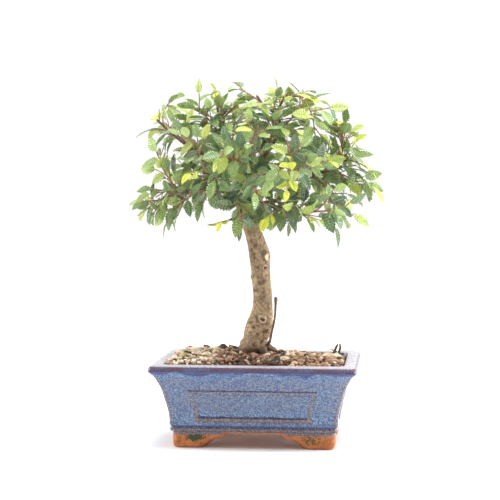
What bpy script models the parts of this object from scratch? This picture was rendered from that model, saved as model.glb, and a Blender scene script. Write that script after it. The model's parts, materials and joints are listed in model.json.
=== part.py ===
"""Chinese elm bonsai in a glazed rectangular pot.

The pot is one fired piece. It holds a mounded filling of soil and cobbles, and the trunk stands in a plain
hole in that filling. The trunk carries its limbs and side branches. Each green spray and each young lime
shoot is a twig with its leaves fused on, and starts a hair's breadth off the end of its own side branch.

All sizes are in metres. The parts are made with the origin on the pot's axis, 6 mm over the surface that its
feet stand on. They hang on one empty that stands them with the origin at the bottom centre of the whole
plant's box.
"""

import math
import random
from collections import namedtuple

import bmesh
import bpy
from mathutils import Matrix, Vector
from mathutils.bvhtree import BVHTree

MM = 0.001

# Faces whose slopes differ by less than this count as flat beside each other
FLAT_ANGLE = math.radians(2.0)

# Pot: driving sizes of the lip, and where the body's main levels are
LIP_LENGTH = 0.200
LIP_WIDTH = 0.150
FLOOR_TOP = 0.016
FLOOR_UNDER = 0.0095
FOOT_BOTTOM = -0.006
FOOT_TOP = 0.0125
FOOT_INSET = 0.0205
FOOT_WALL = 0.010
APRON = 0.0085
ARCH_X_HALF = 0.053
ARCH_X_RUN = 0.028
ARCH_Y_HALF = 0.032
ARCH_Y_RUN = 0.020
DRAIN_RADIUS = 0.008
DRAIN_SPACING = 0.080
SCREEN_SIDE = 0.024
SCREEN_THICK = 0.0012
SCREEN_PITCH = 0.0090
SCREEN_HOLE = 0.0066

# Raised frame on each side of the pot
PANEL_TOP = 0.0520
PANEL_BOTTOM = 0.0200
PANEL_MARGIN = 0.0258
PANEL_RIDGE = 0.0052
PANEL_RELIEF = 0.0012

# Clearance between solids that touch on the real plant: beside each other, and end to end on a bend
GAP = 0.0003
TWIG_GAP = 0.0006

# Soil: level at the pot's wall, height of the mound, and size of the cobbles
SOIL_EDGE = 0.0735
MOUND = 0.0080
COBBLE_PITCH = 0.0156
COBBLE_STRAY = 0.0020
STUMP_HOLE = 0.0153

# Leaves: length from the twig's core to the tip, width as a share of length, blade thickness, and the curl
LEAF_LENGTH = 0.0215
YOUNG_LENGTH = 0.0140
LEAF_WIDTH = 0.56
BLADE = 0.00070
ARCH = 0.10
FOLD = 0.18

# Twigs: each kind's length, the length of blade past its end, its thickness and its number of side twigs
TwigKind = namedtuple("TwigKind", "length blade slim sides")
TWIG_KINDS = {"spray": TwigKind(0.036, 0.019, 1.0, 2), "shoot": TwigKind(0.015, 0.0125, 0.72, 0)}
TWIG_RADIUS = 0.00090
ROOT_DEPTH = 0.0010
SPUR_RADIUS = 0.00140
SIDE_TWIG = 0.017
LEAF_PITCH = 0.0072
SHOOT_PITCH = 0.0050
SPRAY_COUNT = 29
TIP_SPACING = 0.048

# Crown: centre and half-sizes of the rounded mass that the tips lie on
CROWN_CENTRE = Vector((-0.002, 0.0, 0.262))
CROWN_HALF = Vector((0.126, 0.098, 0.092))

Branch = namedtuple("Branch", "points radii")
Leaf = namedtuple("Leaf", "frame length")
Spray = namedtuple("Spray", "name twigs young")


def mm(x, y, z):
    """A point given in millimetres, in metres."""
    return Vector((x, y, z)) * MM


# The trunk's centre line, (x, y, z, radius) in millimetres, from the buried stump up to the fork
TRUNK = (
    (-8, 4, 57, 14.8), (-7, 4, 88, 14.8), (-5, 4, 91, 13.4), (-3, 4, 97, 12.8), (0, 4, 107, 13.6),
    (3, 4, 118, 11.8), (4, 4, 128, 10.1), (4, 4, 140, 9.3), (3, 4, 150, 9.4), (2, 4, 164, 9.7),
    (1, 3, 180, 10.4), (-3, 2, 195, 9.3), (-6, 1, 205, 8.4), (-13, 0, 221, 7.2), (-18, 0, 236, 6.2),
    (-20, 1, 244, 4.2),
)

# The root flare's lobes: between which heights in millimetres, and how deep as a share of the radius
FLARE_FROM = 88
FLARE_TO = 150
FLARE_DEPTH = 0.05

# The main limbs: start and end radius in millimetres, then the points they run through
LIMBS = (
    (4.0, 1.6, ((-19, 0, 238), (-23, 4, 258), (-31, 8, 278), (-38, 8, 300))),
    (3.6, 1.6, ((-19, 0, 236), (-6, -4, 260), (10, -8, 284), (24, -11, 304))),
    (3.4, 1.6, ((-16, 0, 231), (7, 4, 246), (39, 8, 258), (70, 11, 266))),
    (2.3, 1.4, ((-11, -2, 224), (5, -20, 233), (28, -30, 227), (46, -34, 223), (60, -36, 226))),
    (2.6, 1.6, ((-22, 3, 253), (-46, -6, 274), (-68, -12, 288))),
    (2.8, 1.6, ((-17, 0, 235), (-41, -14, 246), (-70, -23, 243))),
    (2.6, 1.6, ((-20, 3, 246), (-16, 26, 260), (-12, 42, 271))),
    (2.4, 1.6, ((-19, -2, 245), (-14, -26, 258), (-10, -42, 267))),
    (2.6, 1.6, ((-17, 3, 238), (-38, 23, 249), (-54, 34, 257))),
    (2.6, 1.6, ((-10, 2, 235), (20, 28, 250), (40, 42, 259))),
    (2.4, 1.6, ((-18, -2, 240), (-34, -28, 253), (-46, -40, 261))),
    (2.4, 1.6, ((-9, 1, 236), (17, -30, 253), (32, -44, 259))),
    (2.0, 1.4, ((-14, 0, 228), (-17, -20, 223), (-23, -33, 216))),
)

# The stubs where branches were pruned: each one's cut end
STUB_ENDS = ((-100, -20, 316), (6, -30, 330), (2, -40, 338), (32, -30, 340), (6, -70, 308))

# The tips of the sprays that draw the crown's outline, clockwise from the low left as seen from the front
OUTLINE_TIPS = (
    (-103, -26, 201), (-127, 12, 223), (-125, -10, 247), (-121, -20, 305), (-108, 12, 325), (-73, -20, 340),
    (-46, 6, 352), (-11, -14, 348), (14, 18, 344), (52, -4, 338), (74, 16, 334), (93, -24, 316),
    (105, 14, 294), (118, -8, 270), (122, 12, 240), (112, -26, 222), (91, 24, 216), (72, -44, 218),
    (48, -20, 211), (13, -46, 206), (-16, -52, 206), (-68, -16, 224), (-98, 30, 226),
)

# The tips of the young lime shoots: the ones that show at the front, then three at the back
SHOOT_TIPS = (
    (-46, -52, 212), (-70, -64, 264), (38, -92, 282), (32, -82, 237), (10, -64, 214), (12, -12, 353),
    (74, -22, 333), (106, -6, 304), (124, -6, 262), (-46, 0, 357), (74, -50, 214), (-58, 74, 302),
    (48, 84, 306),
)

# The thin dead sucker beside the trunk, from its root to its knobbed end: (x, y, z, radius) in millimetres
SUCKER = ((4, -3, 86, 2.4), (10, -5, 92, 1.8), (12, -6, 103, 1.3), (15, -5, 117, 1.3), (17, -5, 131, 1.4),
          (17.5, -5, 136, 2.1), (17.5, -5, 139, 1.5))

# Healed knots on the trunk: middle, the way each faces, and its radius in millimetres
KNOTS = (
    ((4, -7, 117), (0.1, -1, 0.1), 4.4), ((10, 3, 186), (1, -0.3, 0.2), 4.0),
    ((-6, 4, 150), (-1, -0.4, 0), 3.0),
)


def clear_scene():
    """Removes every object that the scene starts with."""
    for found in list(bpy.data.objects):
        bpy.data.objects.remove(found, do_unlink=True)


def finish_of(name, colour, roughness, coat=0.0):
    """A Principled material of this colour."""
    made = bpy.data.materials.new(name)
    made.use_nodes = True
    shader = made.node_tree.nodes["Principled BSDF"]
    shader.inputs["Base Color"].default_value = (*colour, 1.0)
    shader.inputs["Roughness"].default_value = roughness
    shader.inputs["Metallic"].default_value = 0.0
    shader.inputs["Coat Weight"].default_value = coat
    made.diffuse_color = (*colour, 1.0)
    return made


def new_object(name, points, faces, material):
    """An object from points and faces, with its faces turned outwards."""
    mesh = bpy.data.meshes.new(name)
    mesh.from_pydata([tuple(p) for p in points], [], faces)
    mesh.materials.append(material)
    made = bpy.data.objects.new(name, mesh)
    bpy.context.scene.collection.objects.link(made)
    form = bmesh.new()
    form.from_mesh(mesh)
    bmesh.ops.recalc_face_normals(form, faces=form.faces)
    form.to_mesh(mesh)
    form.free()
    return made


def loft(rings):
    """The points and faces of a closed solid through rings of equal length, capped at both ends."""
    count = len(rings[0])
    points = [point for ring in rings for point in ring]
    faces = [tuple(range(count)), tuple(range(len(points) - count, len(points)))]
    for level in range(len(rings) - 1):
        base = level * count
        for i in range(count):
            after = (i + 1) % count
            faces.append((base + i, base + after, base + count + after, base + count + i))
    return points, faces


def rounded_rectangle(half_x, half_y, radius, z, steps=2):
    """The points of a rectangle with rounded corners, lying flat at height z."""
    points = []
    for quarter, (sx, sy) in enumerate(((1, 1), (-1, 1), (-1, -1), (1, -1))):
        for step in range(steps + 1):
            angle = math.radians(90 * (quarter + step / steps))
            x = sx * (half_x - radius) + radius * math.cos(angle)
            y = sy * (half_y - radius) + radius * math.sin(angle)
            points.append(Vector((x, y, z)))
    return points


def pot_ring(inset, z, radius):
    """A level of the pot, this far in from the lip's outer edge."""
    return rounded_rectangle(LIP_LENGTH / 2 - inset, LIP_WIDTH / 2 - inset, radius, z)


def tube(points, radii, sides, turn=0.0, shape=None):
    """The points and faces of a closed tube along a path. shape(ring, angle) may vary its radius."""
    rings = []
    side = (points[1] - points[0]).orthogonal().normalized()
    for i, point in enumerate(points):
        before = points[max(i - 1, 0)]
        after = points[min(i + 1, len(points) - 1)]
        along = (after - before).normalized()
        side = (side - along * side.dot(along)).normalized()
        other = along.cross(side)
        ring = []
        for k in range(sides):
            angle = turn + math.tau * k / sides
            radius = radii[i] * (shape(i, angle) if shape else 1.0)
            ring.append(point + side * (radius * math.cos(angle)) + other * (radius * math.sin(angle)))
        rings.append(ring)
    return loft(rings)


def boolean(target, operation, tools, solver="EXACT"):
    """Joins the tools to the target, cuts them from it, or keeps what they share, and then removes them."""
    group = bpy.data.collections.new("tools")
    bpy.context.scene.collection.children.link(group)
    for tool in tools:
        bpy.context.scene.collection.objects.unlink(tool)
        group.objects.link(tool)
    step = target.modifiers.new(operation.title(), "BOOLEAN")
    step.operation = operation
    step.solver = solver
    step.operand_type = "COLLECTION"
    step.collection = group
    bpy.context.view_layer.update()
    with bpy.context.temp_override(object=target):
        bpy.ops.object.modifier_apply(modifier=step.name)
    for tool in tools:
        bpy.data.objects.remove(tool, do_unlink=True)
    bpy.data.collections.remove(group)


def merge_flats(target):
    """Merges faces that lie flat beside each other, which a union leaves in slivers."""
    form = bmesh.new()
    form.from_mesh(target.data)
    bmesh.ops.dissolve_limit(form, angle_limit=FLAT_ANGLE, verts=form.verts, edges=form.edges)
    form.to_mesh(target.data)
    form.free()


# Pot

# How far in from the lip's edge the outside lies at each height, in millimetres, from foot band to lip
OUTER_WALL = (
    (19.2, 10.4), (18, 11.4), (18, 13.8), (18.7, 15.2), (17.3, 16.8), (17.2, 21), (16.6, 28), (14.8, 36),
    (12.6, 44), (10.4, 52), (7.2, 59), (3.8, 65), (0.2, 68.8), (-1.2, 70.6), (-1, 72.4), (-0.2, 74.4),
    (1.3, 76.2), (4, 77),
)

# The same for the inside, from the rim down to the floor, with the corner radius of each level
INNER_WALL = (
    (9.5, 77, 8), (11.5, 75.8, 9), (12.2, 73, 9), (13.6, 64, 9), (17.6, 51, 9), (22.4, 34, 8), (24.2, 20, 7),
    (28, 16, 6),
)


# The scrolled edge of an arch, from a foot's toe to the apron: share of its run, share of its rise
ARCH_CURVE = ((0.0, 0.005), (0.12, 0.26), (0.32, 0.46), (0.62, 0.60), (0.84, 0.84), (1.0, 1.0))


def outer_inset(z):
    """How far in from the lip's edge the outside wall is at this height."""
    for (low, bottom), (high, top) in zip(OUTER_WALL, OUTER_WALL[1:]):
        if bottom * MM <= z <= top * MM:
            share = (z / MM - bottom) / (top - bottom)
            return (low + (high - low) * share) * MM
    return 0.0


def foot_ring(material):
    """The skirt under the pot, with an arch cut in each side so that four bracket feet are left."""
    half_x = LIP_LENGTH / 2 - FOOT_INSET
    half_y = LIP_WIDTH / 2 - FOOT_INSET
    toe = ((0.0035, FOOT_BOTTOM), (0.0012, FOOT_BOTTOM + 0.0014), (0.0, FOOT_BOTTOM + 0.004), (0.0, FOOT_TOP))
    outside = [rounded_rectangle(half_x - inset, half_y - inset, 0.005, z) for inset, z in toe]
    in_x, in_y = half_x - FOOT_WALL, half_y - FOOT_WALL
    inside = [rounded_rectangle(in_x, in_y, 0.003, z) for z in (FOOT_TOP, FOOT_BOTTOM)]
    skirt = new_object("skirt", *closed_ring(outside + inside), material)
    arch_x = arch_cutter("arch_x", ARCH_X_HALF, ARCH_X_RUN, half_y + 0.01, False, material)
    arch_y = arch_cutter("arch_y", ARCH_Y_HALF, ARCH_Y_RUN, half_x + 0.01, True, material)
    boolean(skirt, "DIFFERENCE", [arch_x, arch_y])
    return skirt


def closed_ring(rings):
    """The points and faces of a ring-shaped solid whose section runs through these loops and closes."""
    points, faces = loft(rings)
    count = len(rings[0])
    last = len(points) - count
    faces = faces[2:]
    for i in range(count):
        after = (i + 1) % count
        faces.append((last + i, last + after, after, i))
    return points, faces


def arch_cutter(name, half_span, run, half_depth, turned, material):
    """The bar that cuts one pair of arches: flat at the apron, falling in a scrolled curve to each foot."""
    side = [(half_span - run * share, FOOT_BOTTOM + (APRON - FOOT_BOTTOM) * rise) for share, rise in ARCH_CURVE]
    outline = [(half_span + 0.0005, FOOT_BOTTOM - 0.002)] + side
    outline = outline + [(-x, z) for x, z in reversed(outline)]
    rings = []
    for end in (-half_depth, half_depth):
        rings.append([Vector((end, x, z)) if turned else Vector((x, end, z)) for x, z in outline])
    return new_object(name, *loft(rings), material)


def panel_frame(name, turned, sign, material):
    """A raised four-sided moulding that follows the hollow of one wall, mitred at its corners."""
    reach = LIP_WIDTH / 2 if turned else LIP_LENGTH / 2
    depth = LIP_LENGTH / 2 if turned else LIP_WIDTH / 2
    levels = (PANEL_BOTTOM, (PANEL_BOTTOM + PANEL_TOP) / 2, PANEL_TOP)

    def corner(side, z, inward, out):
        """A point of the moulding: inward from the frame's outer edge, and out from the wall."""
        low, high = PANEL_BOTTOM + inward, PANEL_TOP - inward
        level = low + (high - low) * (z - PANEL_BOTTOM) / (PANEL_TOP - PANEL_BOTTOM)
        across = side * (reach - outer_inset(level) - PANEL_MARGIN - inward)
        away = sign * (depth - outer_inset(level) + out)
        return Vector((away, across, level)) if turned else Vector((across, away, level))

    section = ((-0.0006, -0.0015), (0.0012, PANEL_RELIEF), (PANEL_RIDGE - 0.0012, PANEL_RELIEF),
               (PANEL_RIDGE + 0.0006, -0.0015))
    path = [(-1, z) for z in levels] + [(1, z) for z in reversed(levels)]
    rings = [[corner(side, z, inward, out) for side, z in path] for inward, out in section]
    return new_object(name, *closed_ring(rings), material)


def drain_cutter(name, x, material):
    """A plain round plug that cuts one drain hole through the floor."""
    points = [Vector((x, 0.0, FLOOR_UNDER - 0.004)), Vector((x, 0.0, FLOOR_TOP + 0.004))]
    return new_object(name, *tube(points, (DRAIN_RADIUS, DRAIN_RADIUS), 16), material)


def make_pot(material):
    """The pot: outer wall, lip, hollow inside, foot skirt, panel frames and drain holes, as one solid."""
    rings = [pot_ring(0.034, FLOOR_UNDER, 0.003), pot_ring(0.0215, FLOOR_UNDER + 0.0004, 0.004)]
    rings += [pot_ring(inset * MM, z * MM, 0.0045) for inset, z in OUTER_WALL]
    rings += [pot_ring(inset * MM, z * MM, radius * MM) for inset, z, radius in INNER_WALL]
    pot = new_object("pot", *loft(rings), material)
    extras = [foot_ring(material)]
    for turned in (False, True):
        for sign in (-1, 1):
            extras.append(panel_frame(f"panel_{turned}_{sign}", turned, sign, material))
    boolean(pot, "UNION", extras)
    drains = [drain_cutter(f"drain_{sign}", sign * DRAIN_SPACING / 2, material) for sign in (-1, 1)]
    boolean(pot, "DIFFERENCE", drains)
    return pot


def square_column(middle, half, levels):
    """The points and faces of a square block between two levels."""
    corners = ((1, 1), (-1, 1), (-1, -1), (1, -1))
    return loft([[Vector((middle.x + half * a, middle.y + half * b, z)) for a, b in corners] for z in levels])


def make_screen(name, x, material):
    """A small square mesh that lies on the floor over a drain hole."""
    low = FLOOR_TOP + GAP
    half = SCREEN_SIDE / 2
    plate = [rounded_rectangle(half, half, 0.002, z, 1) for z in (low, low + SCREEN_THICK)]
    screen = new_object(name, *loft(plate), material)
    screen.location.x = x
    cutters = []
    for i in (-0.5, 0.5):
        for j in (-0.5, 0.5):
            middle = Vector((x + i * SCREEN_PITCH, j * SCREEN_PITCH, 0.0))
            square = square_column(middle, SCREEN_HOLE / 2, (low - 0.001, low + 0.003))
            cutters.append(new_object("mesh_hole", *square, material))
    boolean(screen, "DIFFERENCE", cutters)
    return screen


# Soil

def ground(x, y):
    """The height of the soil under its cobbles: mounded at the trunk and back left, low at the back right."""
    span = max(0.0, (1 - (x / 0.089) ** 2) * (1 - (y / 0.064) ** 2))
    left = math.exp(-((x + 0.056) ** 2 + (y - 0.020) ** 2) / (2 * 0.026 ** 2))
    right = math.exp(-((x - 0.060) ** 2 + (y - 0.044) ** 2) / (2 * 0.026 ** 2))
    return SOIL_EDGE + MOUND * math.sqrt(span) + 0.0040 * left - 0.0030 * right - 0.020 * x


def cobble_sheet(material, draw):
    """A solid sheet whose top is six-sided cobbles, each of its own height and tilt, with grooves between."""
    corners, points, faces = {}, [], []
    radius = COBBLE_PITCH / math.sqrt(3)

    def shared_corner(x, y):
        key = (round(2 * x / radius), round(2 * y / COBBLE_PITCH))
        if key not in corners:
            px = x + draw.uniform(-COBBLE_STRAY, COBBLE_STRAY)
            py = y + draw.uniform(-COBBLE_STRAY, COBBLE_STRAY)
            corners[key] = len(points)
            points.append(Vector((px, py, ground(px, py) - 0.0012)))
        return corners[key]

    for column in range(-9, 10):
        for row in range(-6, 7):
            cx = column * 1.5 * radius
            cy = (row + 0.5 * (column % 2)) * COBBLE_PITCH
            turns = [math.tau * k / 6 for k in range(6)]
            outer = [shared_corner(cx + radius * math.cos(t), cy + radius * math.sin(t)) for t in turns]
            peak = Vector((cx + draw.uniform(-0.003, 0.003), cy + draw.uniform(-0.003, 0.003), 0.0))
            peak.z = ground(peak.x, peak.y) + draw.uniform(0.0012, 0.0042)
            points.append(peak)
            faces += [(outer[k], outer[(k + 1) % 6], len(points) - 1) for k in range(6)]
    sheet = new_object("cobbles", points, faces, material)
    form = bmesh.new()
    form.from_mesh(sheet.data)
    rim = [edge for edge in form.edges if edge.is_boundary]
    walls = bmesh.ops.extrude_edge_only(form, edges=rim)["geom"]
    for vertex in (item for item in walls if isinstance(item, bmesh.types.BMVert)):
        vertex.co.z = 0.005
    bmesh.ops.holes_fill(form, edges=[edge for edge in form.edges if edge.is_boundary], sides=0)
    bmesh.ops.recalc_face_normals(form, faces=form.faces)
    form.to_mesh(sheet.data)
    form.free()
    return sheet


def make_soil(material, draw):
    """The filling: it follows the pot's inside, with cobbles on top and a plain hole for the buried stump."""
    ease = 0.35
    rings = [pot_ring((inset + ease) * MM, z * MM + GAP, (radius - ease) * MM)
             for inset, z, radius in reversed(INNER_WALL[2:])]
    inset, _, radius = INNER_WALL[2]
    rings.append(pot_ring((inset + ease) * MM, 0.100, (radius - ease) * MM))
    soil = new_object("soil", *loft(rings), material)
    boolean(soil, "INTERSECT", [cobble_sheet(material, draw)])
    foot = mm(*TRUNK[0][:3])
    lean = (mm(*TRUNK[1][:3]) - foot).normalized()
    low = foot - lean * GAP
    cutters = [new_object("stump_hole", *tube([low, low + lean * 0.045], [STUMP_HOLE] * 2, 12), material)]
    for sign in (-1, 1):
        middle = Vector((sign * DRAIN_SPACING / 2, 0.0, 0.0))
        levels = (FLOOR_TOP - 0.001, FLOOR_TOP + 2 * GAP + SCREEN_THICK)
        pocket = square_column(middle, SCREEN_SIDE / 2 + GAP, levels)
        cutters.append(new_object("screen_pocket", *pocket, material))
    boolean(soil, "DIFFERENCE", cutters)
    return soil


# Wood

def limb_branches():
    """The main limbs as branches, each tapering evenly along its points."""
    made = []
    for start, end, route in LIMBS:
        last = len(route) - 1
        radii = [(start + (end - start) * i / last) * MM for i in range(last + 1)]
        made.append(Branch([mm(*point) for point in route], radii))
    return made


def attachment(wood, tip, nearest, stray, draw):
    """The place on the wood that a twig to this tip grows from, and the wood's direction there.

    A short and nearly straight way to the tip is best, and stray lets chance choose a longer one. Nothing
    forks near the end of a side branch, where that branch's own twig begins.
    """
    best = None
    for number, branch in enumerate(wood):
        for start, end in zip(branch.points, branch.points[1:]):
            along = (end - start).normalized()
            last = 4 if number < len(LIMBS) or end != branch.points[-1] else 2
            for step in range(1, last + 1):
                place = start.lerp(end, step / 4)
                reach = tip - place
                turn = 1.0 - along.dot(reach.normalized())
                cost = reach.length * (1.0 + 0.55 * turn) * (1.0 + stray * draw.random())
                if reach.length > nearest and (best is None or cost < best[0]):
                    best = (cost, place, along)
    return best[1], best[2]


def bowed(start, along, tip, draw):
    """A curve that leaves the wood near its own direction and bends over to the tip."""
    reach = (tip - start).length
    sway = Vector((draw.uniform(-1, 1), draw.uniform(-1, 1), draw.uniform(-0.2, 1))) * (0.08 * reach)
    middle = start + along * (0.34 * reach) + (tip - start) * 0.16 + sway

    def at(share):
        first = start.lerp(middle, share)
        return first.lerp(middle.lerp(tip, share), share)

    return at


def outward(place):
    """The way out of the crown at this place."""
    off = place - CROWN_CENTRE
    return Vector(part / half ** 2 for part, half in zip(off, CROWN_HALF)).normalized()


def spiral_tips(taken, count, draw):
    """Tips spread over the crown by the golden angle, each well clear of the tips already there."""
    made = []
    tries = 3 * SPRAY_COUNT
    for i in range(tries):
        height = 0.97 - 1.32 * (i + 0.5) / tries
        angle = i * math.pi * (3 - math.sqrt(5))
        level = math.sqrt(1 - height * height)
        shrink = draw.uniform(0.84, 1.0)
        way = Vector((level * math.cos(angle), level * math.sin(angle), height))
        tip = CROWN_CENTRE + Vector(a * b for a, b in zip(way, CROWN_HALF)) * shrink
        if all((tip - other).length > TIP_SPACING for other in taken + made) and len(made) < count:
            made.append(tip)
    return made


def split_curve(curve, length):
    """Where to split the curve so that this length is left at its end, as a share of it."""
    steps = 24
    left = 0.0
    for step in range(steps, 0, -1):
        left += (curve(step / steps) - curve((step - 1) / steps)).length
        if left >= length:
            return max((step - 1) / steps, 0.12)
    return 0.12


def search_tree(points, faces):
    """A search tree of a shape, to test it against others."""
    return BVHTree.FromPolygons([tuple(p) for p in points], faces)


def hits(tree, others):
    """Whether this shape crosses any of the others."""
    return any(tree.overlap(other) for other in others)


def wood_tree(branch, extra):
    """The search tree of a branch, thicker than the branch by this much."""
    return search_tree(*tube(branch.points, [radius + extra for radius in branch.radii], 5))


def twig_route(wood, tip, kind, stray, draw):
    """A side branch and the twig at its end, on one curve from the wood to this tip."""
    place, along = attachment(wood, tip, kind.length + kind.blade + 0.006, stray, draw)
    end = tip - (tip - place).normalized() * kind.blade
    curve = bowed(place, along, end, draw)
    split = split_curve(curve, kind.length)
    spur = Branch([curve(split * i / 2) for i in range(3)], [SPUR_RADIUS, 0.0012, 0.0010])
    spots = [curve(split + (1 - split) * i / 2) for i in range(3)]
    spots[0] = spots[0] + (spots[1] - spots[0]).normalized() * TWIG_GAP
    return spur, Branch(spots, [TWIG_RADIUS * kind.slim * (1 - 0.16 * i) for i in range(3)])


def side_twigs(main, kind, trees, draw):
    """The short twigs that fork off a spray's main twig, each clear of everything else."""
    made = []
    hand = draw.choice((-1, 1))
    for number in range(kind.sides):
        share = (0.30, 0.62)[number]
        half = 0 if share < 0.5 else 1
        root = main.points[half].lerp(main.points[half + 1], share * 2 - half)
        along = (main.points[-1] - main.points[0]).normalized()
        hand = -hand
        for _ in range(12):
            across = (outward(root) + Vector((0, 0, 0.4))).cross(along).normalized() * hand
            way = along * draw.uniform(0.7, 0.95) + across
            way += Vector(draw.uniform(-0.35, 0.35) for _ in range(3))
            tip = root + way.normalized() * SIDE_TWIG * (1.0 - 0.2 * number)
            side = Branch([root, tip], [TWIG_RADIUS * 0.80, TWIG_RADIUS * 0.62])
            free = Branch([root.lerp(tip, 0.25), tip.lerp(root, -0.4)], [0.0016, 0.0014])
            if not hits(wood_tree(free, 0.0), trees):
                made.append(side)
                break
    return made


def grow(draw):
    """Grows the stubs, side branches and twigs: the wood, the sprays, and their owned search trees."""
    wood = limb_branches()
    for end in STUB_ENDS:
        place, along = attachment(wood, mm(*end), 0.020, 0.0, draw)
        curve = bowed(place, along, mm(*end), draw)
        wood.append(Branch([curve(0.0), curve(0.5), curve(1.0)], [0.0016, 0.0014, 0.0013]))
    outline = [mm(*tip) for tip in OUTLINE_TIPS]
    tips = outline + spiral_tips(outline, SPRAY_COUNT - len(outline), draw)
    jobs = [("shoot", mm(*tip)) for tip in SHOOT_TIPS] + [("spray", tip) for tip in tips]
    stem = Branch([mm(*ring[:3]) for ring in TRUNK], [ring[3] * MM for ring in TRUNK])
    owned = [("trunk", wood_tree(branch, 0.0006)) for branch in wood + [stem]]
    sprays = []
    grown = {"shoot": 0, "spray": 0}
    for kind_name, tip in jobs:
        kind = TWIG_KINDS[kind_name]
        for attempt in range(90):
            shift = Vector(draw.uniform(-1, 1) for _ in range(3)) * (0.00015 * attempt)
            spur, twig = twig_route(wood, tip + shift, kind, 0.01 * attempt, draw)
            fat = wood_tree(twig, 0.0008)
            leafy = [tree for owner, tree in owned if owner != "trunk"]
            if not hits(fat, [tree for _, tree in owned]) and not hits(wood_tree(spur, 0.0005), leafy):
                break
        else:
            continue
        grown[kind_name] += 1
        name = f"{kind_name}_{grown[kind_name]:02d}"
        wood.append(spur)
        owned.append(("trunk", wood_tree(spur, 0.0004)))
        sides = side_twigs(twig, kind, [tree for _, tree in owned], draw)
        owned.append((name, fat))
        owned += [(name, wood_tree(side, 0.0008)) for side in sides]
        sprays.append(Spray(name, [twig] + sides, kind_name == "shoot"))
    return wood, sprays, owned


# Leaves

# One side of a leaf from root to tip: share of the length, share of the half-width. Two teeth.
LEAF_SIDE = ((0.36, 1.00), (0.74, 0.74))


def blade_points(frame, length, thick, swell=1.0, first=0.0):
    """The points and faces of one leaf in its frame: y along the midrib, x across, z up out of its top.

    Both faces are split alike, in a fan from the root, and creased along the midrib.
    Swell enlarges the leaf, and first is the share of its length where it starts.
    """
    outline = [(0.0, first)] + [(w, t) for t, w in LEAF_SIDE] + [(0.0, 1.0)]
    outline += [(-w, t) for t, w in reversed(LEAF_SIDE)]
    points = []
    for lift in (thick / 2, -thick / 2):
        for across, along in outline:
            x = across * LEAF_WIDTH / 2 * length * swell
            y = length * along * swell
            z = FOLD * abs(x) - ARCH * length * along * along
            points.append(frame @ Vector((x, y, z + lift)))
    count = len(outline)
    upper = [(0, i, i + 1) for i in range(1, count - 1)]
    faces = upper + [(count + c, count + b, count + a) for a, b, c in upper]
    faces += [(i, count + i, count + (i + 1) % count, (i + 1) % count) for i in range(count)]
    return points, faces


def leaf_frame(root, axis, facing):
    """The frame of a leaf that grows from a root along an axis, with its upper face turned to a direction."""
    y = axis.normalized()
    z = (facing - y * facing.dot(y)).normalized()
    x = y.cross(z)
    return Matrix.Translation(root) @ Matrix((x, y, z)).transposed().to_4x4()


def propose(twig, share, hand, young, draw):
    """One way that a leaf might grow at this share of the twig, on this hand of it (0 for the end leaf)."""
    spans = len(twig.points) - 1
    span = min(int(share * spans), spans - 1)
    start, end = twig.points[span], twig.points[span + 1]
    root = start.lerp(end, share * spans - span)
    along = (end - start).normalized()
    out = outward(root)
    stray = Vector(draw.uniform(-0.45, 0.45) for _ in range(3))
    facing = (out * 0.75 + Vector((0, 0, 0.55)) + stray).normalized()
    across = facing.cross(along).normalized() * hand
    spread = math.radians(draw.uniform(42, 68)) if hand else 0.0
    low = min(max((0.345 - root.z) / 0.11, 0.0), 1.0)
    droop = Vector((0, 0, -1)) * draw.uniform(0.0, 0.35 + 0.6 * low)
    lift = out * draw.uniform(0.0, 0.3)
    axis = along * math.cos(spread) + across * math.sin(spread) + droop + lift
    length = (YOUNG_LENGTH if young else LEAF_LENGTH) * draw.uniform(0.70, 1.14)
    return Leaf(leaf_frame(root, axis, facing), length)


def twig_leaves(spray, twig, owned, draw):
    """The leaves of one twig, alternate along it, each clear of all that stands already."""
    total = sum((b - a).length for a, b in zip(twig.points, twig.points[1:]))
    count = max(2, round(total / (SHOOT_PITCH if spray.young else LEAF_PITCH)))
    hand = draw.choice((-1, 1))
    leaves = []
    for i in range(count, 0, -1):
        hand = -hand
        share = 1.0 - ROOT_DEPTH / total if i == count else (i - 0.25) / count
        for _ in range(16):
            leaf = propose(twig, share, 0 if i == count else hand, spray.young, draw)
            whole = search_tree(*blade_points(leaf.frame, leaf.length, BLADE + 0.0008, 1.03))
            blade = search_tree(*blade_points(leaf.frame, leaf.length, BLADE + 0.0008, 1.03, 0.17))
            others = [tree for owner, tree in owned if owner != spray.name]
            kin = [tree for owner, tree in owned if owner == spray.name]
            if not hits(whole, others) and not hits(blade, kin):
                leaves.append(leaf)
                owned.append((spray.name, whole))
                break
    return leaves


def make_spray(spray, owned, draw, leaf_finish):
    """The twigs of one spray with their leaves joined on, as one solid."""
    main, *sides = spray.twigs
    made = new_object(spray.name, *tube(main.points, main.radii, 3), leaf_finish)
    extras = [new_object("twig", *tube(side.points, side.radii, 3), leaf_finish) for side in sides]
    for twig in spray.twigs:
        for leaf in twig_leaves(spray, twig, owned, draw):
            extras.append(new_object("blade", *blade_points(leaf.frame, leaf.length, BLADE), leaf_finish))
    boolean(made, "UNION", extras, "MANIFOLD")
    merge_flats(made)
    return made


def flare(ring, angle):
    """How the trunk's radius swells and dips round its foot, above the buried stump."""
    height = TRUNK[ring][2]
    if not FLARE_FROM < height < FLARE_TO:
        return 1.0
    fade = (FLARE_TO - height) / (FLARE_TO - FLARE_FROM)
    return 1.0 + FLARE_DEPTH * math.sin(3 * angle + 0.02 * height) * fade


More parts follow.
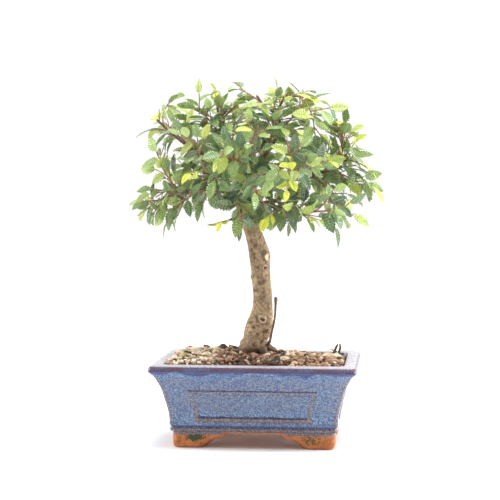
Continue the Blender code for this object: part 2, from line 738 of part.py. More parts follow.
def make_trunk(wood, material):
    """The woody plant: stump, trunk, knots, sucker, limbs, side branches and pruned stubs, as one solid."""
    centres = [mm(x, y, z) for x, y, z, _ in TRUNK]
    radii = [radius * MM for _, _, _, radius in TRUNK]
    trunk = new_object("trunk", *tube(centres, radii, 12, shape=flare), material)
    extras = []
    for middle, facing, radius in KNOTS:
        out = Vector(facing).normalized()
        spots = [mm(*middle) + out * (depth * MM) for depth in (-5.0, 1.2, 2.4)]
        widths = [share * radius * MM for share in (1.0, 1.0, 0.6)]
        extras.append(new_object("knot", *tube(spots, widths, 8), material))
    sucker = [mm(x, y, z) for x, y, z, _ in SUCKER]
    extras.append(new_object("sucker", *tube(sucker, [r * MM for _, _, _, r in SUCKER], 6), material))
    for number, branch in enumerate(wood):
        sides = 5 if number < len(LIMBS) else 3
        extras.append(new_object("branch", *tube(branch.points, branch.radii, sides), material))
    boolean(trunk, "UNION", extras)
    merge_flats(trunk)
    return trunk


def stand_on_base(nodes):
    """Hangs every node on one empty, placed so that the origin is at the bottom centre of the plant's box."""
    bpy.context.view_layer.update()
    spots = [node.matrix_world @ vertex.co for node in nodes for vertex in node.data.vertices]
    low = Vector(min(spot[axis] for spot in spots) for axis in range(3))
    high = Vector(max(spot[axis] for spot in spots) for axis in range(3))
    plant = bpy.data.objects.new("plant", None)
    bpy.context.scene.collection.objects.link(plant)
    plant.location = Vector((-(low.x + high.x) / 2, -(low.y + high.y) / 2, -low.z))
    for node in nodes:
        node.parent = plant


def main():
    """Builds the plant in its pot."""
    clear_scene()
    glaze = finish_of("blue glaze", (0.17, 0.21, 0.31), 0.25, 0.6)
    grit = finish_of("soil and gravel", (0.36, 0.25, 0.17), 0.9)
    bark = finish_of("elm bark", (0.32, 0.23, 0.14), 0.85)
    net = finish_of("drain mesh", (0.03, 0.03, 0.03), 0.6)
    green = finish_of("elm leaf", (0.12, 0.19, 0.07), 0.4)
    lime = finish_of("young elm leaf", (0.60, 0.67, 0.07), 0.45)
    wood, sprays, owned = grow(random.Random(12))
    nodes = [make_pot(glaze), make_soil(grit, random.Random(5))]
    for side, sign in (("left", -1), ("right", 1)):
        nodes.append(make_screen(f"drain_screen_{side}", sign * DRAIN_SPACING / 2, net))
    nodes.append(make_trunk(wood, bark))
    draw = random.Random(31)
    for spray in sprays:
        nodes.append(make_spray(spray, owned, draw, lime if spray.young else green))
    stand_on_base(nodes)


main()
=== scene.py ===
"""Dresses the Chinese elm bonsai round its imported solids: pot, gravel, bark, leaves, floor, light and camera.

The tree grows again here by the rules that its solids grew by, so the fine leaves stand where the plain ones
do. Everything is made in the pot's own frame, with the origin on the pot's axis and 6 mm over the feet's
soles, and each mesh is then moved to the row frame by the shift that the pot's box gives.
"""

from __future__ import annotations

import json
import logging
import math
import random
from collections.abc import Sequence
from dataclasses import dataclass, field
from enum import Enum
from typing import Any, NamedTuple

import bmesh
import bpy
import numpy as np
from mathutils import Matrix, Vector, noise
from mathutils.bvhtree import BVHTree

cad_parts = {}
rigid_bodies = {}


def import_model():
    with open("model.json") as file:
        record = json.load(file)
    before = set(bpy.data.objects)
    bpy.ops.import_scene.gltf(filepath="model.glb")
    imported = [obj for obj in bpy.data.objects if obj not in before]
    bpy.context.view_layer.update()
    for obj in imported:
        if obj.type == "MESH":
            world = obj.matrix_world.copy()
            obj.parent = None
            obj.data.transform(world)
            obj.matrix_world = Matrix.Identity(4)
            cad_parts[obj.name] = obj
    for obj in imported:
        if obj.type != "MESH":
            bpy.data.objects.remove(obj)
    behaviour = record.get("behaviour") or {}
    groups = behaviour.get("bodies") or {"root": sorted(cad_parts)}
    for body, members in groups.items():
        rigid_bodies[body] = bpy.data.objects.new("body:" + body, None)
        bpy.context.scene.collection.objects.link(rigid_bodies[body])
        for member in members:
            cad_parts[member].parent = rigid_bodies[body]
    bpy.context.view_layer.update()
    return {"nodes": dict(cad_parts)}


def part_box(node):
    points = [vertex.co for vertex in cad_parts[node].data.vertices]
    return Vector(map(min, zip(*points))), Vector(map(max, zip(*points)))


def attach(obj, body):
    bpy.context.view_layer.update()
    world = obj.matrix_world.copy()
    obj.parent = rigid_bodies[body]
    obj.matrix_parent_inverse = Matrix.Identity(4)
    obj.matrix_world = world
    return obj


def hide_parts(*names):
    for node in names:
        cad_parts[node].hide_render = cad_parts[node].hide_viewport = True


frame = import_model()

log = logging.getLogger("bonsai")
Colour = tuple[float, float, float]
Place = tuple[float, float, float]
Face = Sequence[int]
Array = np.ndarray
Draw = random.Random
Material = bpy.types.Material

MM = 0.001
BODY = "root"
SOLE_DROP = 0.006
POT_LOW, POT_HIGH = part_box("pot")
SHIFT = Vector(((POT_LOW.x + POT_HIGH.x) / 2, (POT_LOW.y + POT_HIGH.y) / 2, POT_LOW.z + SOLE_DROP))
SCREENS = ("drain_screen_left", "drain_screen_right")


class Slot(Enum):
    """The record's material slots, by name."""

    GLAZE = "pot_glaze"
    GRAVEL = "gravel"
    BARK = "bark"
    GREEN = "green_leaf"
    LIME = "lime_leaf"


def mm(x: float, y: float, z: float) -> Vector:
    """A point given in millimetres, in metres."""
    return Vector((x, y, z)) * MM


def smoothstep(value: Array | float, low: float, high: float) -> Any:
    """0 below low, 1 above high, and a smooth rise between them."""
    share = np.clip((value - low) / (high - low), 0.0, 1.0)
    return share * share * (3.0 - 2.0 * share)


# Shader graphs


class Wire:
    """One value in a shader graph. Arithmetic on it adds Math nodes."""

    def __init__(self, graph: Graph, socket: bpy.types.NodeSocket) -> None:
        """Keeps the socket and the graph that it belongs to."""
        self.graph = graph
        self.socket = socket

    def math(self, operation: str, left: Wire | float, right: Wire | float = 0.0) -> Wire:
        """Adds a Math node.

        Args:
            operation: What the node does.
            left: Its first value.
            right: Its second value.

        Returns:
            The node's result.
        """
        return self.graph.wire("ShaderNodeMath", {"operation": operation}, {0: left, 1: right})

    def __add__(self, other: Wire | float) -> Wire:
        """The sum."""
        return self.math("ADD", self, other)

    __radd__ = __add__

    def __sub__(self, other: Wire | float) -> Wire:
        """The difference."""
        return self.math("SUBTRACT", self, other)

    def __rsub__(self, other: Wire | float) -> Wire:
        """The difference, with the other value first."""
        return self.math("SUBTRACT", other, self)

    def __mul__(self, other: Wire | float) -> Wire:
        """The product."""
        return self.math("MULTIPLY", self, other)

    __rmul__ = __mul__

    def __abs__(self) -> Wire:
        """The size without its sign."""
        return self.math("ABSOLUTE", self)

    def over(self, other: Wire | float) -> Wire:
        """The larger of the two."""
        return self.math("MAXIMUM", self, other)

    def fraction(self) -> Wire:
        """What is left past the whole number."""
        return self.math("FRACT", self)

    def fade(self, low: float, high: float) -> Wire:
        """0 below low, 1 above high, and a smooth rise between them.

        Args:
            low: Where it starts to rise.
            high: Where it is full.

        Returns:
            The share, from 0 to 1.
        """
        return self.graph.wire(
            "ShaderNodeMapRange", {"interpolation_type": "SMOOTHSTEP"}, {0: self, 1: low, 2: high}
        )


class Graph:
    """The node tree of one material, or of the world."""

    def __init__(self, owner: Material | bpy.types.World) -> None:
        """Turns the owner's nodes on.

        Args:
            owner: The material or the world that the nodes belong to.
        """
        self.owner = owner
        owner.use_nodes = True
        self.tree = owner.node_tree

    @classmethod
    def of_material(cls, name: str) -> Graph:
        """The graph of a new material with this name."""
        return cls(bpy.data.materials.new(name))

    def put(self, socket: bpy.types.NodeSocket, value: Any) -> None:
        """Links a wire to a socket, or sets the socket's own value.

        Args:
            socket: The input.
            value: A wire, a number, a colour or a vector.
        """
        if isinstance(value, Wire):
            self.tree.links.new(value.socket, socket)
        elif socket.type == "RGBA":
            socket.default_value = (*value[:3], 1.0)
        else:
            socket.default_value = value

    def node(self, kind: str, settings: dict[str, Any], inputs: dict[int | str, Any]) -> bpy.types.Node:
        """Adds a node of any kind.

        Args:
            kind: The node's type.
            settings: Its properties, and a ramp's colours as stops, which are set first.
            inputs: The values or wires of its sockets, by index or name.

        Returns:
            The node.
        """
        made = self.tree.nodes.new(kind)
        for name, value in settings.items():
            if name == "stops":
                ramp = made.color_ramp.elements
                while len(ramp) < len(value):
                    ramp.new(1.0)
                for element, (place, colour) in zip(ramp, value):
                    element.position = place
                    element.color = (*colour, 1.0)
            else:
                setattr(made, name, value)
        for key, value in inputs.items():
            self.put(made.inputs[key], value)
        return made

    def wire(self, kind: str, settings: dict[str, Any], inputs: dict[int | str, Any], output: int = 0) -> Wire:
        """Adds a node and gives one of its outputs."""
        return Wire(self, self.node(kind, settings, inputs).outputs[output])

    def mix(self, share: Wire | float, first: Any, second: Any) -> Wire:
        """A blend of two colours."""
        return self.wire("ShaderNodeMix", {"data_type": "RGBA"}, {0: share, 6: first, 7: second}, 2)

    def ramp(self, value: Wire, *stops: tuple[float, Colour]) -> Wire:
        """A colour read from a ramp."""
        return self.wire("ShaderNodeValToRGB", {"stops": stops}, {0: value})

    def spot(self) -> Wire:
        """The place on the piece, in metres."""
        return self.wire("ShaderNodeTexCoord", {}, {}, 3)

    def stretched(self, vector: Wire, x: float, y: float, z: float) -> Wire:
        """A vector with each axis scaled."""
        return self.wire("ShaderNodeVectorMath", {"operation": "MULTIPLY"}, {0: vector, 1: (x, y, z)})

    def noise(self, vector: Wire, scale: float, detail: float = 3.0, rough: float = 0.5) -> Wire:
        """Cloudy noise from 0 to 1."""
        inputs = {"Vector": vector, "Scale": scale, "Detail": detail, "Roughness": rough}
        return self.wire("ShaderNodeTexNoise", {}, inputs)

    def cells(self, vector: Wire, scale: float) -> Wire:
        """The distance to the nearest of many scattered points."""
        return self.wire("ShaderNodeTexVoronoi", {}, {"Vector": vector, "Scale": scale})

    def mark(self, name: str) -> tuple[Wire, Wire, Wire]:
        """The three parts of a vector that the mesh's points carry."""
        vector = self.wire("ShaderNodeAttribute", {"attribute_name": name}, {}, 1)
        return self.split(vector)

    def split(self, vector: Wire) -> tuple[Wire, Wire, Wire]:
        """The three parts of a vector."""
        parts = self.node("ShaderNodeSeparateXYZ", {}, {0: vector}).outputs
        return Wire(self, parts[0]), Wire(self, parts[1]), Wire(self, parts[2])

    def bump(self, height: Wire, strength: float, distance: float) -> Wire:
        """A normal that leans as this height asks."""
        return self.wire("ShaderNodeBump", {}, {"Height": height, "Strength": strength, "Distance": distance})

    def skin(self, inputs: dict[str, Any]) -> Material:
        """Sets the material's Principled shader.

        Args:
            inputs: The values or wires of its sockets.

        Returns:
            The material.
        """
        shader = self.tree.nodes["Principled BSDF"]
        for name, value in inputs.items():
            self.put(shader.inputs[name], value)
        return self.owner


# Finishes


@dataclass(frozen=True)
class Glaze:
    """Mottled blue glaze that breaks to mauve-brown on edges, pools dark in corners with painted shade there and under
    the lip, has a painted highlight on its rim, and ends over bare clay.
    """

    blue: Colour = (0.018, 0.054, 0.170)
    pale: Colour = (0.205, 0.312, 0.452)
    brown: Colour = (0.060, 0.040, 0.048)
    mauve: Colour = (0.235, 0.185, 0.200)
    # Deep blue of pooled glaze; also the painted shade under the lip and in recesses, and the blemishes.
    pooled_and_shade: Colour = (0.030, 0.034, 0.135)
    line: Colour = (0.110, 0.055, 0.075)
    # The rim's top: a painted highlight.
    rim: Colour = (0.470, 0.415, 0.450)
    clay: Colour = (0.640, 0.215, 0.070)
    burnt: Colour = (0.340, 0.120, 0.045)
    moss: Colour = (0.050, 0.070, 0.018)

    def material(self) -> Material:
        """The finish. Place marks carry edge, pool with painted shade, and clay; tints carry the rim's painted
        highlight above zero and brown lines below it, blueness and patches.

        Returns:
            The finish, ready for a piece.
        """
        g = Graph.of_material("blue glaze")
        spot = g.spot()
        edge, pool_and_shade, clay = g.mark("place")
        rim, blueness, patch = g.mark("tint")
        speck = (g.noise(spot, 760.0, 2.0) * 0.65 + g.noise(spot, 1500.0, 1.0) * 0.35).fade(0.44, 0.60)
        fleck = g.noise(spot, 760.0, 2.0).fade(0.42, 0.60)
        grain = g.noise(spot, 330.0, 4.0)
        body = g.mix(speck, self.blue, self.pale)
        mottle = g.mix(speck, self.brown, self.mauve)
        share = (fleck * (0.62 - 0.56 * blueness)).over(edge * (0.65 + 1.1 * grain))
        coat = g.mix(share, body, mottle)
        # Darker blue where the glaze pools, and painted shade under the lip and in the grooves and nooks.
        coat = g.mix((pool_and_shade * (0.5 + 1.0 * grain)).fade(0.05, 0.95), coat, self.pooled_and_shade)
        coat = g.mix((0.0 - rim) * (0.5 + 0.9 * grain), coat, self.line)
        # Painted highlight on the rim's top.
        coat = g.mix(rim * (1.15 - 0.35 * fleck), coat, self.rim)
        coat = g.mix(patch.fade(0.3, 0.8) * 0.8, coat, self.pooled_and_shade)
        raw = g.mix(g.noise(spot, 210.0, 5.0).fade(0.3, 0.7), self.clay, self.burnt)
        dabs = g.noise(spot, 620.0, 3.0)
        raw = g.mix((patch + (grain - 0.5) * 0.9 + (dabs - 0.5) * 1.8).fade(0.35, 0.75), raw, self.moss)
        relief = g.noise(spot, 700.0, 3.0) * 0.4 + clay * g.noise(spot, 900.0, 4.0)
        return g.skin({
            "Base Color": g.mix(clay, coat, raw), "Roughness": 0.22 + clay * 0.55 + grain * 0.10,
            "Coat Weight": 0.25 - 0.25 * clay, "Coat Roughness": 0.08, "Normal": g.bump(relief, 0.35, 0.0004),
        })


@dataclass(frozen=True)
class LeafSkin:
    """A toothed elm leaf: glossy green above with paler veins, pale and matt beneath."""

    # The darkest green: old leaves, and the painted shade on the inner leaves of the crown.
    oldest_and_shaded: Colour = (0.014, 0.058, 0.030)
    dark: Colour = (0.050, 0.150, 0.056)
    middle: Colour = (0.268, 0.430, 0.110)
    light: Colour = (0.600, 0.690, 0.170)
    lime: Colour = (0.800, 0.850, 0.045)
    vein: Colour = (0.600, 0.680, 0.380)
    under: Colour = (0.430, 0.560, 0.230)

    def material(self) -> Material:
        """The finish. The place marks carry across, vein count and side; the tint carries tone, with painted light and
        shade, and age, partly painted light shining through.

        Returns:
            The finish, ready for a piece.
        """
        g = Graph.of_material("elm leaf")
        spot = g.spot()
        across, count, side = g.mark("place")
        tone_and_painted_light, age_and_backlight, own = g.mark("tint")
        wave = abs((count + 0.5).fraction() - 0.5)
        side_vein = 1.0 - wave.fade(0.03, 0.20)
        swell = wave.fade(0.22, 0.50)
        rib = 1.0 - abs(across).fade(0.03, 0.12)
        lines = (side_vein * 0.55).over(rib)
        blotch = g.noise(spot, 260.0, 3.0)
        # The leaf's lightness: its tone with painted light and shade, random blotches, and painted sheen on the
        # swellings between the side veins with painted shade in their valleys.
        shade = tone_and_painted_light + (blotch - 0.5) * 0.46 + (swell - 0.5) * 0.26
        green = g.ramp(shade, (0.0, self.oldest_and_shaded), (0.30, self.dark), (0.62, self.middle), (1.0, self.light))
        # Lime: young leaves, partly painted light shining through at the outer top of the crown.
        green = g.mix(age_and_backlight, green, self.lime)
        top = g.mix(lines * (0.50 - 0.25 * age_and_backlight), green, self.vein)
        under = g.mix(0.62 - 0.4 * age_and_backlight, green, self.under)
        below = (0.0 - side).fade(-0.2, 0.2)
        base = g.mix(below, top, under)
        relief = swell * 0.9 + blotch * 0.3 - rib * 0.6
        return g.skin({
            "Base Color": base, "Roughness": 0.20 + below * 0.34 + own * 0.16, "Specular IOR Level": 0.80,
            "Normal": g.bump(relief, 0.9, 0.0009),
        })


@dataclass(frozen=True)
class TwigSkin:
    """The bark of the leafy twigs: reddish brown, or green on the young shoots."""

    name: str
    dark: Colour
    bright: Colour

    def material(self) -> Material:
        """The finish.

        Returns:
            The finish, ready for a piece.
        """
        g = Graph.of_material(self.name)
        spot = g.spot()
        grain = g.noise(spot, 700.0, 4.0)
        dots = 1.0 - g.cells(spot, 900.0).fade(0.10, 0.30)
        base = g.mix(grain.fade(0.3, 0.7), self.dark, self.bright)
        base = g.mix(dots * 0.35, base, (0.50, 0.40, 0.28))
        return g.skin({
            "Base Color": base, "Roughness": 0.55 + grain * 0.2, "Normal": g.bump(grain, 0.5, 0.0003),
        })


@dataclass(frozen=True)
class Bark:
    """Grey-tan elm bark with dark freckles, algae, dark thin limbs and a moist brown foot."""

    pale: Colour = (0.43, 0.320, 0.200)
    tan: Colour = (0.205, 0.130, 0.068)
    algae: Colour = (0.155, 0.105, 0.050)
    freckle: Colour = (0.090, 0.046, 0.022)
    warm: Colour = (0.600, 0.425, 0.275)
    limb: Colour = (0.130, 0.075, 0.050)
    moist: Colour = (0.150, 0.088, 0.058)

    def material(self) -> Material:
        """The finish. The place marks carry how thin the wood is, how scarred and how moist.

        Returns:
            The finish, ready for a piece.
        """
        g = Graph.of_material("elm bark")
        spot = g.spot()
        thin, scar, moist = g.mark("place")
        pale_cut, low, _ = g.mark("tint")
        grain = g.noise(g.stretched(spot, 1.0, 1.0, 0.80), 430.0, 6.0, 0.66)
        broad = g.noise(spot, 75.0, 3.0)
        fine = g.noise(g.stretched(spot, 1.0, 1.0, 1.7), 1500.0, 3.0)
        base = g.mix(grain.fade(0.36, 0.64), self.tan, self.pale)
        base = g.mix(broad.fade(0.42, 0.72) * 0.70, base, self.algae)
        base = g.mix(low * grain.fade(0.34, 0.66), base, self.warm)
        dots = 1.0 - g.cells(g.stretched(spot, 1.0, 1.0, 1.5), 260.0).fade(0.16, 0.40)
        dots = dots * g.noise(spot, 120.0, 2.0).fade(0.46, 0.62)
        base = g.mix(dots * 0.75, base, self.freckle)
        base = g.mix(fine.fade(0.60, 0.78) * 0.55, base, self.freckle)
        young = g.mix(grain.fade(0.35, 0.7), self.limb, (0.28, 0.175, 0.11))
        base = g.mix(thin, base, young)
        base = g.mix((scar * (0.30 + 1.2 * grain)).fade(0.08, 0.92), base, self.freckle)
        base = g.mix(pale_cut, base, (0.84, 0.66, 0.42))
        base = g.mix((moist + (grain - 0.5) * 0.5).fade(0.25, 0.75), base, self.moist)
        relief = grain * 0.8 + fine * 0.35 - dots * 0.7
        return g.skin({
            "Base Color": base, "Roughness": 0.86 - moist * 0.25, "Normal": g.bump(relief, 0.75, 0.0009),
        })


@dataclass(frozen=True)
class Stone:
    """Gravel of many stones: cream, tan, pink, grey and brown, each stone of its own colour."""

    def material(self) -> Material:
        """The finish. The tint carries each stone's kind, lightness and moss.

        Returns:
            The finish, ready for a piece.
        """
        g = Graph.of_material("gravel stone")
        spot = g.spot()
        kind, light, moss = g.mark("tint")
        grit = g.noise(spot, 900.0, 5.0, 0.65)
        vein = g.noise(spot, 260.0, 3.0)
        base = g.ramp(
            kind, (0.0, (0.040, 0.026, 0.022)), (0.18, (0.13, 0.055, 0.032)), (0.36, (0.30, 0.135, 0.075)),
            (0.52, (0.46, 0.27, 0.16)), (0.68, (0.66, 0.43, 0.29)), (0.84, (0.85, 0.66, 0.45)),
            (1.0, (0.97, 0.88, 0.71)),
        )
        base = g.mix(grit.fade(0.40, 0.72) * 0.40, base, (0.14, 0.08, 0.05))
        base = g.mix(vein.fade(0.55, 0.75) * light, base, (0.90, 0.83, 0.70))
        base = g.mix(moss * vein.fade(0.35, 0.6), base, (0.33, 0.34, 0.10))
        return g.skin({
            "Base Color": base, "Roughness": 0.82 - 0.2 * light, "Normal": g.bump(grit, 0.6, 0.0006),
        })


@dataclass(frozen=True)
class Earth:
    """Crumbly red-brown soil, darker where it is moist."""

    crumb: Colour = (0.175, 0.075, 0.040)
    dark: Colour = (0.036, 0.019, 0.014)

    def material(self) -> Material:
        """The finish.

        Returns:
            The finish, ready for a piece.
        """
        g = Graph.of_material("potting soil")
        spot = g.spot()
        crumbs = g.cells(spot, 620.0)
        broad = g.noise(spot, 150.0, 5.0, 0.65)
        base = g.mix(broad.fade(0.35, 0.65), self.dark, self.crumb)
        base = g.mix(g.noise(spot, 1300.0, 2.0).fade(0.66, 0.74), base, (0.62, 0.50, 0.36))
        return g.skin({
            "Base Color": base, "Roughness": 0.95, "Normal": g.bump(crumbs + broad, 0.8, 0.0010),
        })


@dataclass(frozen=True)
class Plain:
    """A quiet finish with a little grain, for what shows least."""

    name: str
    colour: Colour
    roughness: float
    grain: float = 400.0

    def material(self) -> Material:
        """The finish.

        Returns:
            The finish, ready for a piece.
        """
        g = Graph.of_material(self.name)
        cloud = g.noise(g.spot(), self.grain, 3.0)
        darker = tuple(0.8 * part for part in self.colour)
        return g.skin({
            "Base Color": g.mix(cloud, darker, self.colour), "Roughness": self.roughness + 0.1 * cloud,
        })


# Meshes


class Mould:
    """Collects points and faces in the pot's frame and casts them as one piece in the row frame."""

    def __init__(self, name: str) -> None:
        """Starts an empty piece with this name.

        Args:
            name: The piece's name.
        """
        self.name = name
        self.points: list[Array] = []
        self.faces: list[Face] = []
        self.finishes: list[int] = []
        self.place: list[Array] = []
        self.tint: list[Array] = []
        self.count = 0

    def add(
        self, points: Array, faces: Sequence[Face], finish: int = 0,
        place: Array | Colour = (0.0, 0.0, 0.0), tint: Array | Colour = (0.0, 0.0, 0.0),
    ) -> None:
        """Adds one closed shape.

        Args:
            points: Its points, in metres in the pot's frame.
            faces: Its faces, by the points' order.
            finish: Which of the piece's finishes it takes.
            place: A vector for each point, or one for all.
            tint: Another vector for each point, or one for all.
        """
        points = np.asarray(points, float)
        self.points.append(points)
        self.faces.extend([[corner + self.count for corner in face] for face in faces])
        self.finishes.extend([finish] * len(faces))
        self.place.append(np.broadcast_to(np.asarray(place, float), points.shape))
        self.tint.append(np.broadcast_to(np.asarray(tint, float), points.shape))
        self.count += len(points)

    def mesh(self) -> bpy.types.Mesh:
        """The mesh of all the shapes, in the row frame, with its faces turned out and its marks.

        Returns:
            The mesh, with its marks as colour rows.
        """
        made = bpy.data.meshes.new(self.name)
        made.from_pydata((np.concatenate(self.points) + np.array(SHIFT)).tolist(), [], self.faces)
        for name, rows in (("place", self.place), ("tint", self.tint)):
            layer = made.attributes.new(name, "FLOAT_VECTOR", "POINT")
            layer.data.foreach_set("vector", np.concatenate(rows).astype(np.float32).ravel())
        made.polygons.foreach_set("material_index", self.finishes)
        made.polygons.foreach_set("use_smooth", [True] * len(self.faces))
        form = bmesh.new()
        form.from_mesh(made)
        bmesh.ops.recalc_face_normals(form, faces=form.faces)
        form.to_mesh(made)
        form.free()
        return made

    def cast(
        self, finishes: Sequence[Material], stands_for: Sequence[str] = ()
    ) -> bpy.types.Object:
        """Makes the piece, which rides on the plant's one body.

        Args:
            finishes: Its materials, in the order that the shapes name them.
            stands_for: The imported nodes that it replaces.

        Returns:
            The piece.
        """
        piece = bpy.data.objects.new(self.name, self.mesh())
        bpy.context.scene.collection.objects.link(piece)
        for material in finishes:
            piece.data.materials.append(material)
        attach(piece, BODY)
        if stands_for:
            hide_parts(*stands_for)
        log.info("%s: %d faces", self.name, len(self.faces))
        return piece


def loft(rings: Sequence[Sequence[Any]]) -> tuple[list[Any], list[Face]]:
    """The points and faces of a closed solid through rings of equal length, capped at both ends.

    Args:
        rings: The rings, each a row of points in the same order.

    Returns:
        The points, and the faces as rows of point numbers.
    """
    count = len(rings[0])
    points = [point for ring in rings for point in ring]
    faces: list[Face] = [tuple(range(count)), tuple(range(len(points) - count, len(points)))]
    for level in range(len(rings) - 1):
        base = level * count
        for i in range(count):
            after = (i + 1) % count
            faces.append((base + i, base + after, base + count + after, base + count + i))
    return points, faces


def tube(points: Sequence[Vector], radii: Sequence[float], sides: int) -> tuple[list[Vector], list[Face]]:
    """The points and faces of a closed tube along a path.

    Args:
        points: The path.
        radii: The radius at each point of it.
        sides: How many sides it has.

    Returns:
        The points, and the faces as rows of point numbers.
    """
    rings = []
    side = (points[1] - points[0]).orthogonal().normalized()
    for i, point in enumerate(points):
        before = points[max(i - 1, 0)]
        after = points[min(i + 1, len(points) - 1)]
        along = (after - before).normalized()
        side = (side - along * side.dot(along)).normalized()
        other = along.cross(side)
        ring = []
        for k in range(sides):
            angle = math.tau * k / sides
            ring.append(point + side * (radii[i] * math.cos(angle)) + other * (radii[i] * math.sin(angle)))
        rings.append(ring)
    return loft(rings)


def smooth_path(
    points: Sequence[Vector], radii: Sequence[float], step: float
) -> tuple[list[Vector], list[float]]:
    """A smooth curve through points, with a point every step.

    Args:
        points: The points that it runs through.
        radii: The radius at each of them.
        step: The spacing of the new points.

    Returns:
        The new points and their radii.
    """
    ends = [points[0] * 2 - points[1], *points, points[-1] * 2 - points[-2]]
    path: list[Vector] = []
    sizes: list[float] = []
    for i in range(len(points) - 1):
        a, b, c, d = ends[i:i + 4]
        parts = max(1, round((c - b).length / step))
        for k in range(parts):
            t = k / parts
            path.append(
                b + (c - a) * (0.5 * t) + (a * 2 - b * 5 + c * 4 - d) * (0.5 * t * t)
                + (b * 3 - a - c * 3 + d) * (0.5 * t * t * t)
            )
            sizes.append(radii[i] + (radii[i + 1] - radii[i]) * t)
    return [*path, points[-1].copy()], [*sizes, radii[-1]]


def ball(levels: int) -> tuple[Array, list[Face]]:
    """The points and faces of a round ball of triangles, one metre in radius.

    Args:
        levels: How often the first twenty triangles are split.

    Returns:
        The points, and the faces as rows of point numbers.
    """
    form = bmesh.new()
    bmesh.ops.create_icosphere(form, subdivisions=levels, radius=1.0)
    points = np.array([vertex.co[:] for vertex in form.verts])
    faces = [[vertex.index for vertex in face.verts] for face in form.faces]
    form.free()
    return points, faces


# Growth: the same rules, sizes and draws as the solids


class Branch(NamedTuple):
    """A path of points and the radius at each."""

    points: list[Vector]
    radii: list[float]


class Leaf(NamedTuple):
    """A leaf's frame, from its root, and its length."""

    frame: Matrix
    length: float


class Kind(Enum):
    """The kinds of twig, by the names that their nodes start with."""

    SPRAY = "spray"
    SHOOT = "shoot"


class TwigKind(NamedTuple):
    """A twig's length, the blade past its end, its thickness and its number of side twigs."""

    length: float
    blade: float
    slim: float
    sides: int


class Habit(NamedTuple):
    """How a twig's leaves grow: length, spacing, rise, tries each, and whether the crown bounds them."""

    length: float
    pitch: float
    rise: float
    tries: int
    bounded: bool


class Solid(NamedTuple):
    """The search tree of a shape, and the ball that holds it."""

    tree: BVHTree
    middle: Vector
    reach: float


class Room:
    """All that stands in the crown already, to find whether a new shape has room."""

    def __init__(self) -> None:
        """Starts with nothing in it."""
        self.owners: list[str] = []
        self.solids: list[Solid] = []
        self.balls = np.zeros((0, 4))

    def add(self, owner: str, solid: Solid) -> None:
        """Puts in a shape under its owner's name.

        Args:
            owner: The name of the spray, shoot or wood that it belongs to.
            solid: The shape.
        """
        if len(self.solids) == len(self.balls):
            self.balls = np.concatenate([self.balls, np.zeros((1024, 4))])
        self.balls[len(self.solids)] = (*solid.middle, solid.reach)
        self.owners.append(owner)
        self.solids.append(solid)

    def crossed(self, solid: Solid, owner: str = "", kin: bool = False) -> bool:
        """Whether a shape crosses what stands.

        Args:
            solid: The shape.
            owner: A name that sets some of what stands apart; without one, all of it counts.
            kin: Whether only that owner's shapes count, or only those of others.

        Returns:
            Whether they cross.
        """
        balls = self.balls[:len(self.solids)]
        near = np.linalg.norm(balls[:, :3] - np.array(solid.middle), axis=1) < balls[:, 3] + solid.reach
        return any(
            bool(solid.tree.overlap(self.solids[i].tree))
            for i in np.nonzero(near)[0] if not owner or (self.owners[i] == owner) == kin
        )


@dataclass
class Spray:
    """A twig with its side twigs and leaves."""

    name: str
    twigs: list[Branch]
    young: bool
    leaves: list[Leaf] = field(default_factory=list)


